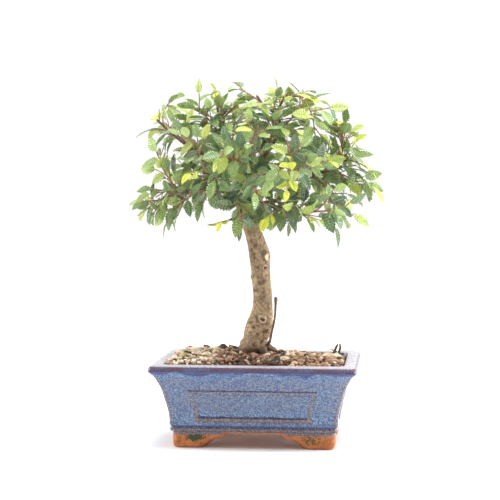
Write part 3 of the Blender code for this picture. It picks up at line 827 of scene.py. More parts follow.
@dataclass
class Growth:
    """Grows the elm: its limbs, side branches, twigs and leaves, in the pot's frame."""

    leaf_length: float = 0.0215
    leaf_width: float = 0.56
    blade: float = 0.00070
    arch: float = 0.10
    fold: float = 0.18
    twig_radius: float = 0.00090
    twig_gap: float = 0.0006
    root_depth: float = 0.0010
    spur_radius: float = 0.00140
    side_twig: float = 0.017
    spray_count: int = 29
    tip_spacing: float = 0.048
    bound_height: float = 0.100
    bound_wider: float = 1.025
    bound_taller: float = 1.035
    centre: Vector = field(default_factory=lambda: Vector((-0.002, 0.0, 0.262)))
    half: Vector = field(default_factory=lambda: Vector((0.126, 0.098, 0.092)))
    wood: list[Branch] = field(default_factory=list)
    sprays: list[Spray] = field(default_factory=list)
    room: Room = field(default_factory=Room)

    KINDS = {Kind.SPRAY: TwigKind(0.036, 0.019, 1.0, 2), Kind.SHOOT: TwigKind(0.015, 0.0125, 0.72, 0)}
    GREEN = Habit(0.0215, 0.0072, 0.55, 16, False)
    YOUNG = Habit(0.0140, 0.0050, 0.55, 16, False)
    FILLING = Habit(0.0195, 0.0062, 0.22, 14, True)
    OUTLINE = (
        (-53, 358), (-37, 346), (-19, 356), (-12, 344), (4, 339), (14, 358), (32, 354), (44, 348), (67, 338),
        (82, 338), (94, 327), (90, 318), (103, 310), (105, 294), (119, 278), (131, 263), (120, 252), (124, 236),
        (121, 220), (104, 224), (87, 212), (72, 220), (60, 210), (42, 214), (26, 214), (12, 198), (0, 202),
        (-9, 214), (-17, 193), (-26, 210), (-31, 231), (-54, 236), (-73, 233), (-98, 231), (-100, 197),
        (-110, 213), (-125, 217), (-128, 232), (-114, 246), (-97, 258), (-94, 272), (-102, 286), (-113, 293),
        (-129, 302), (-130, 309), (-112, 315), (-105, 326), (-89, 339), (-71, 342), (-64, 352),
    )
    TRUNK = (
        (-8, 4, 57, 14.8), (-7, 4, 88, 14.8), (-5, 4, 91, 13.4), (-3, 4, 97, 12.8), (0, 4, 107, 13.6),
        (3, 4, 118, 11.8), (4, 4, 128, 10.1), (4, 4, 140, 9.3), (3, 4, 150, 9.4), (2, 4, 164, 9.7),
        (1, 3, 180, 10.4), (-3, 2, 195, 9.3), (-6, 1, 205, 8.4), (-13, 0, 221, 7.2), (-18, 0, 236, 6.2),
        (-20, 1, 244, 4.2),
    )
    LIMBS = (
        (4.0, 1.6, ((-19, 0, 238), (-23, 4, 258), (-31, 8, 278), (-38, 8, 300))),
        (3.6, 1.6, ((-19, 0, 236), (-6, -4, 260), (10, -8, 284), (24, -11, 304))),
        (3.4, 1.6, ((-16, 0, 231), (7, 4, 246), (39, 8, 258), (70, 11, 266))),
        (2.3, 1.4, ((-11, -2, 224), (5, -20, 233), (28, -30, 227), (46, -34, 223), (60, -36, 226))),
        (2.6, 1.6, ((-22, 3, 253), (-46, -6, 274), (-68, -12, 288))),
        (2.8, 1.6, ((-17, 0, 235), (-41, -14, 246), (-70, -23, 243))),
        (2.6, 1.6, ((-20, 3, 246), (-16, 26, 260), (-12, 42, 271))),
        (2.4, 1.6, ((-19, -2, 245), (-14, -26, 258), (-10, -42, 267))),
        (2.6, 1.6, ((-17, 3, 238), (-38, 23, 249), (-54, 34, 257))),
        (2.6, 1.6, ((-10, 2, 235), (20, 28, 250), (40, 42, 259))),
        (2.4, 1.6, ((-18, -2, 240), (-34, -28, 253), (-46, -40, 261))),
        (2.4, 1.6, ((-9, 1, 236), (17, -30, 253), (32, -44, 259))),
        (2.0, 1.4, ((-14, 0, 228), (-17, -20, 223), (-23, -33, 216))),
    )
    STUB_ENDS = ((-100, -20, 316), (6, -30, 330), (2, -40, 338), (32, -30, 340), (6, -70, 308))
    OUTLINE_TIPS = (
        (-103, -26, 201), (-127, 12, 223), (-125, -10, 247), (-121, -20, 305), (-108, 12, 325), (-73, -20, 340),
        (-46, 6, 352), (-11, -14, 348), (14, 18, 344), (52, -4, 338), (74, 16, 334), (93, -24, 316),
        (105, 14, 294), (118, -8, 270), (122, 12, 240), (112, -26, 222), (91, 24, 216), (72, -44, 218),
        (48, -20, 211), (13, -46, 206), (-16, -52, 206), (-68, -16, 224), (-98, 30, 226),
    )
    SHOOT_TIPS = (
        (-46, -52, 212), (-70, -64, 264), (38, -92, 282), (32, -82, 237), (10, -64, 214), (12, -12, 353),
        (74, -22, 333), (106, -6, 304), (124, -6, 262), (-46, 0, 357), (74, -50, 214), (-58, 74, 302),
        (48, 84, 306),
    )
    EYE = (141.0, -1498.0, 256.0)
    LEAF_SIDE = ((0.36, 1.00), (0.74, 0.74))

    def attachment(self, tip: Vector, nearest: float, stray: float, draw: Draw) -> tuple[Vector, Vector]:
        """The place on the wood that a twig grows from.

        Args:
            tip: Where the twig ends.
            nearest: The shortest way that is allowed.
            stray: How far chance may favour a longer way.
            draw: The random stream.

        Returns:
            The place and the wood's direction there.
        """
        best = None
        for number, branch in enumerate(self.wood):
            for start, end in zip(branch.points, branch.points[1:]):
                along = (end - start).normalized()
                last = 4 if number < len(self.LIMBS) or end != branch.points[-1] else 2
                for step in range(1, last + 1):
                    place = start.lerp(end, step / 4)
                    reach = tip - place
                    turn = 1.0 - along.dot(reach.normalized())
                    cost = reach.length * (1.0 + 0.55 * turn) * (1.0 + stray * draw.random())
                    if reach.length > nearest and (best is None or cost < best[0]):
                        best = (cost, place, along)
        return best[1], best[2]

    @staticmethod
    def bowed(start: Vector, along: Vector, tip: Vector, draw: Draw) -> list[Vector]:
        """The start, middle and end that shape a curve which leaves the wood near its own direction.

        Args:
            start: Where the curve leaves the wood.
            along: The wood's own direction there.
            tip: Where it ends.
            draw: The random stream.

        Returns:
            The three points.
        """
        reach = (tip - start).length
        sway = Vector((draw.uniform(-1, 1), draw.uniform(-1, 1), draw.uniform(-0.2, 1))) * (0.08 * reach)
        return [start, start + along * (0.34 * reach) + (tip - start) * 0.16 + sway, tip]

    @staticmethod
    def on_curve(curve: list[Vector], share: float) -> Vector:
        """The point at this share of a curve."""
        start, middle, tip = curve
        return start.lerp(middle, share).lerp(middle.lerp(tip, share), share)

    def outward(self, place: Vector) -> Vector:
        """The way out of the crown at this place."""
        off = place - self.centre
        return Vector(part / half ** 2 for part, half in zip(off, self.half)).normalized()

    def spiral_tips(self, taken: list[Vector], count: int, draw: Draw) -> list[Vector]:
        """Tips spread over the crown by the golden angle.

        Args:
            taken: The tips that are there already.
            count: How many more there may be.
            draw: The random stream.

        Returns:
            The new tips, each well clear of all the others.
        """
        made: list[Vector] = []
        tries = 3 * self.spray_count
        for i in range(tries):
            height = 0.97 - 1.32 * (i + 0.5) / tries
            angle = i * math.pi * (3 - math.sqrt(5))
            level = math.sqrt(1 - height * height)
            shrink = draw.uniform(0.84, 1.0)
            way = Vector((level * math.cos(angle), level * math.sin(angle), height))
            tip = self.centre + Vector(a * b for a, b in zip(way, self.half)) * shrink
            if all((tip - other).length > self.tip_spacing for other in taken + made) and len(made) < count:
                made.append(tip)
        return made

    def split_share(self, curve: list[Vector], length: float) -> float:
        """Where to split a curve so that this length is left at its end.

        Args:
            curve: The curve.
            length: The length to leave, in metres.

        Returns:
            The share of the curve that comes before the split.
        """
        steps = 24
        left = 0.0
        for step in range(steps, 0, -1):
            left += (self.on_curve(curve, step / steps) - self.on_curve(curve, (step - 1) / steps)).length
            if left >= length:
                return max((step - 1) / steps, 0.12)
        return 0.12

    @staticmethod
    def solid(points: Sequence[Vector], faces: Sequence[Face]) -> Solid:
        """A shape that can be tested against others.

        Args:
            points: The shape's points.
            faces: Its faces.

        Returns:
            The shape, with its middle and its reach.
        """
        low = Vector(min(point[axis] for point in points) for axis in range(3))
        high = Vector(max(point[axis] for point in points) for axis in range(3))
        tree = BVHTree.FromPolygons([tuple(point) for point in points], faces)
        return Solid(tree, (low + high) / 2, (high - low).length / 2)

    def round_solid(self, branch: Branch, extra: float) -> Solid:
        """A branch as a shape that is thicker by this much."""
        return self.solid(*tube(branch.points, [radius + extra for radius in branch.radii], 5))

    def twig_route(self, tip: Vector, kind: TwigKind, stray: float, draw: Draw) -> tuple[Branch, Branch]:
        """A side branch and the twig at its end, on one curve from the wood.

        Args:
            tip: Where the leaves end.
            kind: The twig's sizes.
            stray: How far chance may favour a longer way.
            draw: The random stream.

        Returns:
            The side branch and the twig.
        """
        place, along = self.attachment(tip, kind.length + kind.blade + 0.006, stray, draw)
        end = tip - (tip - place).normalized() * kind.blade
        curve = self.bowed(place, along, end, draw)
        split = self.split_share(curve, kind.length)
        spots = [self.on_curve(curve, split * i / 2) for i in range(3)]
        spur = Branch(spots, [self.spur_radius, 0.0012, 0.0010])
        spots = [self.on_curve(curve, split + (1 - split) * i / 2) for i in range(3)]
        spots[0] = spots[0] + (spots[1] - spots[0]).normalized() * self.twig_gap
        return spur, Branch(spots, [self.twig_radius * kind.slim * (1 - 0.16 * i) for i in range(3)])

    def side_twigs(self, main: Branch, kind: TwigKind, draw: Draw) -> list[Branch]:
        """The short twigs that fork off a spray's main twig, each clear of everything else.

        Args:
            main: The main twig.
            kind: The kind of twig.
            draw: The random stream.

        Returns:
            The side twigs.
        """
        made = []
        hand = draw.choice((-1, 1))
        for number in range(kind.sides):
            share = (0.30, 0.62)[number]
            half = 0 if share < 0.5 else 1
            root = main.points[half].lerp(main.points[half + 1], share * 2 - half)
            along = (main.points[-1] - main.points[0]).normalized()
            hand = -hand
            for _ in range(12):
                across = (self.outward(root) + Vector((0, 0, 0.4))).cross(along).normalized() * hand
                way = along * draw.uniform(0.7, 0.95) + across
                way += Vector(draw.uniform(-0.35, 0.35) for _ in range(3))
                tip = root + way.normalized() * self.side_twig * (1.0 - 0.2 * number)
                side = Branch([root, tip], [self.twig_radius * 0.80, self.twig_radius * 0.62])
                free = Branch([root.lerp(tip, 0.25), tip.lerp(root, -0.4)], [0.0016, 0.0014])
                if not self.room.crossed(self.round_solid(free, 0.0)):
                    made.append(side)
                    break
        return made

    def grow_wood(self, draw: Draw) -> None:
        """Grows the limbs, stubs, side branches and twigs.

        Args:
            draw: The random stream.
        """
        for start, end, route in self.LIMBS:
            last = len(route) - 1
            radii = [(start + (end - start) * i / last) * MM for i in range(last + 1)]
            self.wood.append(Branch([mm(*point) for point in route], radii))
        for end in self.STUB_ENDS:
            place, along = self.attachment(mm(*end), 0.020, 0.0, draw)
            curve = self.bowed(place, along, mm(*end), draw)
            self.wood.append(Branch([self.on_curve(curve, i / 2) for i in range(3)], [0.0016, 0.0014, 0.0013]))
        outline = [mm(*tip) for tip in self.OUTLINE_TIPS]
        tips = outline + self.spiral_tips(outline, self.spray_count - len(outline), draw)
        jobs = [(Kind.SHOOT, mm(*tip)) for tip in self.SHOOT_TIPS] + [(Kind.SPRAY, tip) for tip in tips]
        stem = Branch([mm(*ring[:3]) for ring in self.TRUNK], [ring[3] * MM for ring in self.TRUNK])
        for branch in self.wood + [stem]:
            self.room.add("trunk", self.round_solid(branch, 0.0006))
        for which, tip in jobs:
            self.grow_twig(which, tip, draw)

    def grow_twig(self, which: Kind, tip: Vector, draw: Draw) -> None:
        """Grows one side branch with its twig, where there is room.

        Args:
            which: Whether it is a green spray or a young shoot.
            tip: Where its leaves end.
            draw: The random stream.
        """
        kind = self.KINDS[which]
        for attempt in range(90):
            shift = Vector(draw.uniform(-1, 1) for _ in range(3)) * (0.00015 * attempt)
            spur, twig = self.twig_route(tip + shift, kind, 0.01 * attempt, draw)
            fat = self.round_solid(twig, 0.0008)
            if not self.room.crossed(fat) and not self.room.crossed(self.round_solid(spur, 0.0005), "trunk"):
                break
        else:
            return
        young = which is Kind.SHOOT
        name = f"{which.value}_{1 + sum(spray.young == young for spray in self.sprays):02d}"
        self.wood.append(spur)
        self.room.add("trunk", self.round_solid(spur, 0.0004))
        sides = self.side_twigs(twig, kind, draw)
        self.room.add(name, fat)
        for side in sides:
            self.room.add(name, self.round_solid(side, 0.0008))
        self.sprays.append(Spray(name, [twig, *sides], young))

    def blade_points(
        self, leaf: Leaf, thick: float, swell: float, first: float
    ) -> tuple[list[Vector], list[Face]]:
        """The plain form of a leaf, to test for room.

        Args:
            leaf: The leaf.
            thick: How thick the form is.
            swell: How much it is enlarged.
            first: The share of its length where it starts.

        Returns:
            Its points and faces.
        """
        outline = [(0.0, first)] + [(w, t) for t, w in self.LEAF_SIDE] + [(0.0, 1.0)]
        outline += [(-w, t) for t, w in reversed(self.LEAF_SIDE)]
        points = []
        for lift in (thick / 2, -thick / 2):
            for across, along in outline:
                x = across * self.leaf_width / 2 * leaf.length * swell
                y = leaf.length * along * swell
                z = self.fold * abs(x) - self.arch * leaf.length * along * along
                points.append(leaf.frame @ Vector((x, y, z + lift)))
        count = len(outline)
        upper = [(0, i, i + 1) for i in range(1, count - 1)]
        faces = upper + [(count + c, count + b, count + a) for a, b, c in upper]
        faces += [(i, count + i, count + (i + 1) % count, (i + 1) % count) for i in range(count)]
        return points, faces

    def propose(self, twig: Branch, share: float, hand: int, habit: Habit, draw: Draw) -> Leaf:
        """One way that a leaf might grow.

        Args:
            twig: The twig that it grows on.
            share: How far along the twig.
            hand: The side of the twig, or 0 for the end leaf.
            habit: How the twig's leaves grow.
            draw: The random stream.

        Returns:
            The leaf.
        """
        spans = len(twig.points) - 1
        span = min(int(share * spans), spans - 1)
        start, end = twig.points[span], twig.points[span + 1]
        root = start.lerp(end, share * spans - span)
        along = (end - start).normalized()
        out = self.outward(root)
        stray = Vector(draw.uniform(-0.45, 0.45) for _ in range(3))
        facing = (out * 0.75 + Vector((0, 0, habit.rise)) + stray).normalized()
        across = facing.cross(along).normalized() * hand
        spread = math.radians(draw.uniform(42, 68)) if hand else 0.0
        low = min(max((0.345 - root.z) / 0.11, 0.0), 1.0)
        droop = Vector((0, 0, -1)) * draw.uniform(0.0, 0.35 + 0.6 * low)
        lift = out * draw.uniform(0.0, 0.3)
        axis = (along * math.cos(spread) + across * math.sin(spread) + droop + lift).normalized()
        length = habit.length * draw.uniform(0.70, 1.14)
        z = (facing - axis * facing.dot(axis)).normalized()
        turned = Matrix((axis.cross(z), axis, z)).transposed().to_4x4()
        return Leaf(Matrix.Translation(root) @ turned, length)

    def in_crown(self, place: Vector) -> bool:
        """Whether a place is inside the crown: its depth, and its outline as it looks from the front.

        Args:
            place: The place, in metres.

        Returns:
            True when it is inside.
        """
        if ((place.y - self.centre.y) / self.half.y) ** 2 + ((place.z - self.centre.z) / self.bound_height) ** 2 > 1.0:
            return False
        share = self.EYE[1] / (self.EYE[1] - place.y / MM)
        x = (self.EYE[0] + (place.x / MM - self.EYE[0]) * share) / self.bound_wider
        middle = 262
        z = middle + (self.EYE[2] + (place.z / MM - self.EYE[2]) * share - middle) / self.bound_taller
        inside = False
        for (ax, az), (bx, bz) in zip(self.OUTLINE, self.OUTLINE[1:] + self.OUTLINE[:1]):
            if (az > z) != (bz > z) and x < ax + (bx - ax) * (z - az) / (bz - az):
                inside = not inside
        return inside

    def twig_leaves(self, spray: Spray, twig: Branch, habit: Habit, draw: Draw) -> list[Leaf]:
        """The leaves of one twig, alternate along it, each clear of all that stands already.

        Args:
            spray: The spray that the twig belongs to.
            twig: The twig.
            habit: How its leaves grow.
            draw: The random stream.

        Returns:
            The leaves that found room.
        """
        total = sum((b - a).length for a, b in zip(twig.points, twig.points[1:]))
        count = max(2, round(total / habit.pitch))
        hand = draw.choice((-1, 1))
        leaves = []
        for i in range(count, 0, -1):
            hand = -hand
            share = 1.0 - self.root_depth / total if i == count else (i - 0.25) / count
            for _ in range(habit.tries):
                leaf = self.propose(twig, share, 0 if i == count else hand, habit, draw)
                if habit.bounded and not self.in_crown(leaf.frame @ Vector((0.0, leaf.length, 0.0))):
                    continue
                whole = self.solid(*self.blade_points(leaf, self.blade + 0.0008, 1.03, 0.0))
                blade = self.solid(*self.blade_points(leaf, self.blade + 0.0008, 1.03, 0.17))
                if not self.room.crossed(whole, spray.name) and not self.room.crossed(blade, spray.name, True):
                    leaves.append(leaf)
                    self.room.add(spray.name, whole)
                    break
        return leaves

    def grow_leaves(self, draw: Draw) -> None:
        """Grows the leaves of every twig.

        Args:
            draw: The random stream.
        """
        for spray in self.sprays:
            for twig in list(spray.twigs):
                spray.leaves += self.twig_leaves(spray, twig, self.YOUNG if spray.young else self.GREEN, draw)


# Foliage


@dataclass
class Foliage:
    """The fine leaves and twigs: those of the solids, and the many that the solids leave out."""

    growth: Growth
    teeth: int = 8
    stalk: float = 0.085
    blade: float = 0.00030
    twig_step: float = 0.0010
    columns: tuple[float, ...] = (-1.0, -0.55, 0.0, 0.55, 1.0)

    STALK = ((0.0, 0.030), (0.5, 0.022), (1.0, 0.024))
    REACH_TIPS = (
        (-52, -8, 354), (-47, 18, 347), (-87, 10, 336), (-98, -20, 319), (-122, -6, 306), (-114, 22, 304),
        (-15, -16, 351), (21, -10, 352), (24, 24, 345), (64, -10, 327), (79, 8, 333), (92, -12, 325),
        (62, -40, 302), (99, 6, 304), (112, -8, 276), (125, 4, 262), (117, -10, 233), (-60, -52, 300),
        (36, -62, 301), (20, -76, 279), (11, -84, 263), (1, -74, 248), (-15, -34, 205), (10, -26, 207),
        (-79, -56, 277), (-64, -72, 264), (-104, -10, 210), (-123, 8, 221), (47, -78, 256), (74, -50, 275),
        (-34, -78, 284), (-21, -84, 261), (55, -50, 227), (-17, -60, 321), (3, -68, 306), (83, -30, 246),
        (-46, -60, 246), (40, 60, 318), (-20, 72, 312), (-70, 56, 290), (78, 52, 286), (10, 84, 272), (-40, 82, 262),
        (56, 74, 252), (92, 34, 250), (-92, 40, 262), (0, 40, 340),
    )

    def __post_init__(self) -> None:
        """Works out the rows that every leaf shares."""
        self.rows = [(share * self.stalk, width, 1.0, -1.0, 0.0) for share, width in self.STALK]
        for tooth in range(self.teeth):
            for offset, cut, phase in ((0.06, 0.79, -0.5), (0.82, 1.06, 0.0)):
                along = (tooth + offset) / self.teeth
                self.rows.append((along, 0.0, cut, tooth + phase, 1.0))
        self.rows.append((1.0, 0.0, 1.0, self.teeth - 0.5, 1.0))
        count = len(self.columns)
        top = [
            (i * count + j, i * count + j + 1, (i + 1) * count + j + 1, (i + 1) * count + j)
            for i in range(len(self.rows) - 1) for j in range(count - 1)
        ]
        size = len(self.rows) * count
        rim = [i * count for i in range(len(self.rows))]
        rim += [size - count + j for j in range(1, count)]
        rim += [i * count + count - 1 for i in range(len(self.rows) - 2, -1, -1)]
        rim += [j for j in range(count - 2, 0, -1)]
        edge = [(a, b, b + size, a + size) for a, b in zip(rim, rim[1:] + rim[:1])]
        self.faces: list[Face] = top + [tuple(size + k for k in reversed(face)) for face in top] + edge
        self.template = self.flat_leaf()

    @staticmethod
    def half_width(share: Array | float) -> Array | float:
        """The half-width of the blade at this share of its length, as a share of its widest."""
        return np.maximum(1.0 - np.abs(2.0 * np.power(share, 0.83) - 1.0) ** 2.05, 0.012) ** 0.95

    def flat_leaf(self) -> Array:
        """Each point of a flat leaf: across, along, lift, thickness, column, vein count.

        Returns:
            A row for each point.
        """
        points = []
        for share, width, cut, count, is_blade in self.rows:
            for column in self.columns:
                reach = abs(column)
                if is_blade:
                    skewed = share + 0.40 * share * (1.0 - share)
                    here = share + 0.40 * share * (1.0 - share) * reach
                    half = float(self.half_width(skewed)) * (cut if reach == 1.0 else 1.0)
                    along = self.stalk + (1.0 - self.stalk) * here
                    quilt = (-0.10 if count == int(count) else 0.09) * (1.0 if 0.1 < reach < 1.0 else 0.3)
                    points.append((column * half, along, quilt * MM, 0.5, column, count))
                else:
                    points.append((column * width, share, 0.0, 0.9, column * 0.02, count))
        return np.array(points)

    def leaf(self, leaf: Leaf, draw: Draw) -> tuple[Array, Array]:
        """The points of one fine leaf and their marks.

        Args:
            leaf: Where it grows and how long it is.
            draw: The random stream for its curl.

        Returns:
            The points in the pot's frame, and each point's column, vein count and side.
        """
        across, along, quilt, thick, column, count = self.template.T
        size = leaf.length / self.growth.leaf_length
        fold = self.growth.fold + draw.uniform(-0.08, 0.14)
        arch = self.growth.arch + draw.uniform(-0.04, 0.12)
        wave, phase, twist = draw.uniform(0.1, 0.45) * MM, draw.uniform(0, math.tau), draw.uniform(-0.5, 0.5)
        x = across * self.growth.leaf_width / 2 * leaf.length * draw.uniform(0.92, 1.06)
        y = along * leaf.length
        z = fold * np.abs(x) - arch * leaf.length * along ** 2 + quilt * size
        z = z + wave * size * np.abs(across) * np.sin(phase + 11.0 * along + 2.0 * column)
        z = z + twist * x * along + 0.02 * leaf.length * np.sin(3.0 * along + phase) * along
        marks = np.column_stack([column, count, np.ones_like(column)])
        half = thick * self.blade * np.maximum(size, 0.8)
        upper = np.column_stack([x, y, z + half])
        lower = np.column_stack([x, y, z - half])
        flipped = marks * np.array((1.0, 1.0, -1.0))
        turn = np.array(leaf.frame)
        points = np.concatenate([upper, lower]) @ turn[:3, :3].T + turn[:3, 3]
        return points, np.concatenate([marks, flipped])

    def tint(self, leaf: Leaf, young: bool, tip: float, draw: Draw) -> Colour:
        """A leaf's tone and age: painted light makes it paler and yellower to the outside and the top of the crown,
        and painted shade darker inside.

        Args:
            leaf: The leaf.
            young: Whether it grows on a lime shoot.
            tip: How near it is to the end of its twig, from 0 to 1.
            draw: The random stream.

        Returns:
            Its tone, its age and a number of its own.
        """
        if young:
            return draw.uniform(0.6, 1.0), draw.uniform(0.80, 1.0), draw.random()
        off = leaf.frame.translation - self.growth.centre
        out = min(sum((part / half) ** 2 for part, half in zip(off, self.growth.half)), 1.0)
        high = min(max(off.z / self.growth.half.z, -1.0), 1.0)
        # Tone: random, plus painted light that rises to the outside and top of the crown, and painted shade on the
        # inner leaves.
        tone_and_painted_light = min(max(draw.gauss(0.24 + 0.42 * out + 0.12 * high, 0.33 - 0.13 * min(out, 1.0)), 0.0), 1.0)
        # Lime share: young leaves near the twig tips; the share that rises to the outside and top also stands in for
        # light shining through the leaves, painted light.
        chance = 0.03 + 0.10 * tip + 0.17 * out * (1.0 + high)
        fresh_and_backlit = draw.uniform(0.15, 0.60) if draw.random() < chance else draw.uniform(0.0, 0.10)
        return tone_and_painted_light, fresh_and_backlit, draw.random()

    def add_twig(self, mould: Mould, twig: Branch, roots: list[Leaf], sides: int, finish: int) -> None:
        """Adds a twig that swells and kinks a little at each leaf.

        Args:
            mould: The piece that it goes into.
            twig: The twig.
            roots: The leaves that grow on the spray.
            sides: How many sides it has.
            finish: Which of the piece's finishes it takes.
        """
        path, radii = smooth_path(twig.points, twig.radii, self.twig_step)
        for leaf in roots:
            root = leaf.frame.translation
            away = Vector(leaf.frame.col[1][:3])
            for i, point in enumerate(path):
                near = math.exp(-((point - root).length / 0.0013) ** 2)
                path[i] = point + away * (0.00028 * near)
                radii[i] = radii[i] * (1.0 + 0.28 * near)
        points, faces = tube(path, radii, sides)
        mould.add(np.array(points), faces, finish)

    def add_leaves(self, mould: Mould, spray: Spray, draw: Draw) -> None:
        """Adds the fine leaves of a spray to a piece.

        Args:
            mould: The piece that they go into.
            spray: The spray.
            draw: The random stream.
        """
        for number, leaf in enumerate(spray.leaves):
            points, marks = self.leaf(leaf, draw)
            tip = 1.0 - number / max(len(spray.leaves), 1)
            mould.add(points, self.faces, 0, marks, self.tint(leaf, spray.young, tip, draw))

    def joined(self, twig: Branch) -> Branch:
        """The twig with its start drawn back into the wood that carries it."""
        back = (twig.points[0] - twig.points[1]).normalized() * (2.2 * self.growth.twig_gap)
        return Branch([twig.points[0] + back, *twig.points[1:]], twig.radii)

    def room_for_twig(self, root: Vector, way: Vector, length: float, name: str) -> Branch | None:
        """A short twig from this root if nothing is in its way, and else None.

        Args:
            root: Where it starts.
            way: Its direction.
            length: Its length, in metres.
            name: The name that it grows under.

        Returns:
            The twig, or None.
        """
        side = Branch([root, root + way * length], [0.00062, 0.00045])
        free = Branch([root + way * (0.3 * length), root + way * (1.3 * length)], [0.0011, 0.0010])
        if self.growth.room.crossed(self.growth.round_solid(free, 0.0)) or not self.growth.in_crown(side.points[1]):
            return None
        self.growth.room.add(name, self.growth.round_solid(side, 0.0003))
        return side

    def reach(self, tip: Vector, spray: Spray, draw: Draw) -> None:
        """Grows a thin leafy twig from the wood to this tip, where there is room.

        Args:
            tip: Where it ends.
            spray: The spray that takes it.
            draw: The random stream.
        """
        grown = self.growth
        for attempt in range(24):
            end = tip + Vector(draw.uniform(-1, 1) for _ in range(3)) * (0.0004 * attempt)
            end = end + (grown.centre - end).normalized() * 0.007
            place, along = grown.attachment(end, 0.012, 0.02 * attempt, draw)
            curve = grown.bowed(place, along, end, draw)
            spots = [grown.on_curve(curve, i / 4) for i in range(5)]
            twig = Branch(spots, [0.0010, 0.0009, 0.0008, 0.0007, 0.0005])
            free = grown.round_solid(Branch([spots[0].lerp(spots[1], 0.5), *spots[1:]], twig.radii), 0.0004)
            if not grown.room.crossed(free):
                grown.room.add(spray.name, free)
                spray.twigs.append(twig)
                span = min(0.030 / (end - place).length, 0.75)
                outer = [grown.on_curve(curve, 1 - span * (1 - i / 3)) for i in range(4)]
                spray.leaves += grown.twig_leaves(spray, Branch(outer, twig.radii[1:]), grown.FILLING, draw)
                self.fill(twig, spray, 0.0085, 0.35, draw)
                return

    def fill(self, carrier: Branch, spray: Spray, spacing: float, start: float, draw: Draw) -> None:
        """Grows short leafy twigs along a carrier, which the solids leave out.

        Args:
            carrier: The branch or twig that they grow on.
            spray: The spray that takes them.
            spacing: How far apart they start.
            start: The share of the carrier that stays bare.
            draw: The random stream.
        """
        path, _ = smooth_path(carrier.points, carrier.radii, 0.002)
        total = 0.002 * (len(path) - 1)
        turn = draw.uniform(0, math.tau)
        for step in range(int(total * (1 - start) / spacing)):
            place = start * total + (step + draw.uniform(0.3, 0.7)) * spacing
            index = min(int(place / 0.002), len(path) - 2)
            root = path[index]
            along = (path[index + 1] - root).normalized()
            for _ in range(5):
                turn += 2.4 + draw.uniform(-0.5, 0.5)
                side = along.orthogonal().normalized()
                side = side * math.cos(turn) + along.cross(side) * math.sin(turn)
                way = (along * 0.5 + side + self.growth.outward(root) * 0.50).normalized()
                twig = self.room_for_twig(root, way, draw.uniform(0.012, 0.022), spray.name)
                if twig is None:
                    continue
                spray.twigs.append(twig)
                spray.leaves += self.growth.twig_leaves(spray, twig, self.growth.FILLING, draw)
                break

    def build(self, leaf: Material, twig: Material, green: Material) -> None:
        """Makes every spray and shoot, and the inner leaves on the side branches.

        Args:
            leaf: The finish of the blades.
            twig: The finish of the green sprays' twigs.
            green: The finish of the shoots' stems.
        """
        draw = Draw(77)
        grown = self.growth
        inner: list[Spray] = []
        for number, tip in enumerate(self.REACH_TIPS):
            inner.append(Spray(f"reach_{number:02d}", [], False))
            self.reach(mm(*tip), inner[-1], draw)
        for spray in grown.sprays:
            if not spray.young:
                for carrier in list(spray.twigs):
                    self.fill(carrier, spray, 0.0075, 0.1, draw)
        for number, branch in enumerate(grown.wood):
            spray = Spray(f"inner_{number:02d}", [], False)
            self.fill(branch, spray, 0.0070, 0.40 if number < len(grown.LIMBS) else 0.15, draw)
            inner.append(spray)
        total = 0
        for spray in grown.sprays:
            mould = Mould(f"elm_{spray.name}")
            for number, part in enumerate(spray.twigs):
                part = self.joined(part) if number == 0 else part
                self.add_twig(mould, part, spray.leaves, 8 if number == 0 else 6, 1)
            self.add_leaves(mould, spray, draw)
            mould.cast((leaf, green if spray.young else twig), (spray.name,))
            total += len(spray.leaves)
        for group in range(3):
            mould = Mould(f"inner_leaves_{group + 1}")
            for spray in inner[group::3]:
                for part in spray.twigs:
                    self.add_twig(mould, part, spray.leaves, 6, 1)
                self.add_leaves(mould, spray, draw)
                total += len(spray.leaves)
            mould.cast((leaf, twig))
        log.info("leaves: %d", total)


# Wood


class Scar(NamedTuple):
    """A mark on the trunk, in millimetres: its middle, radius, swelling, and whether its heart is pale."""

    middle: Place
    radius: float
    swell: float
    pale: bool


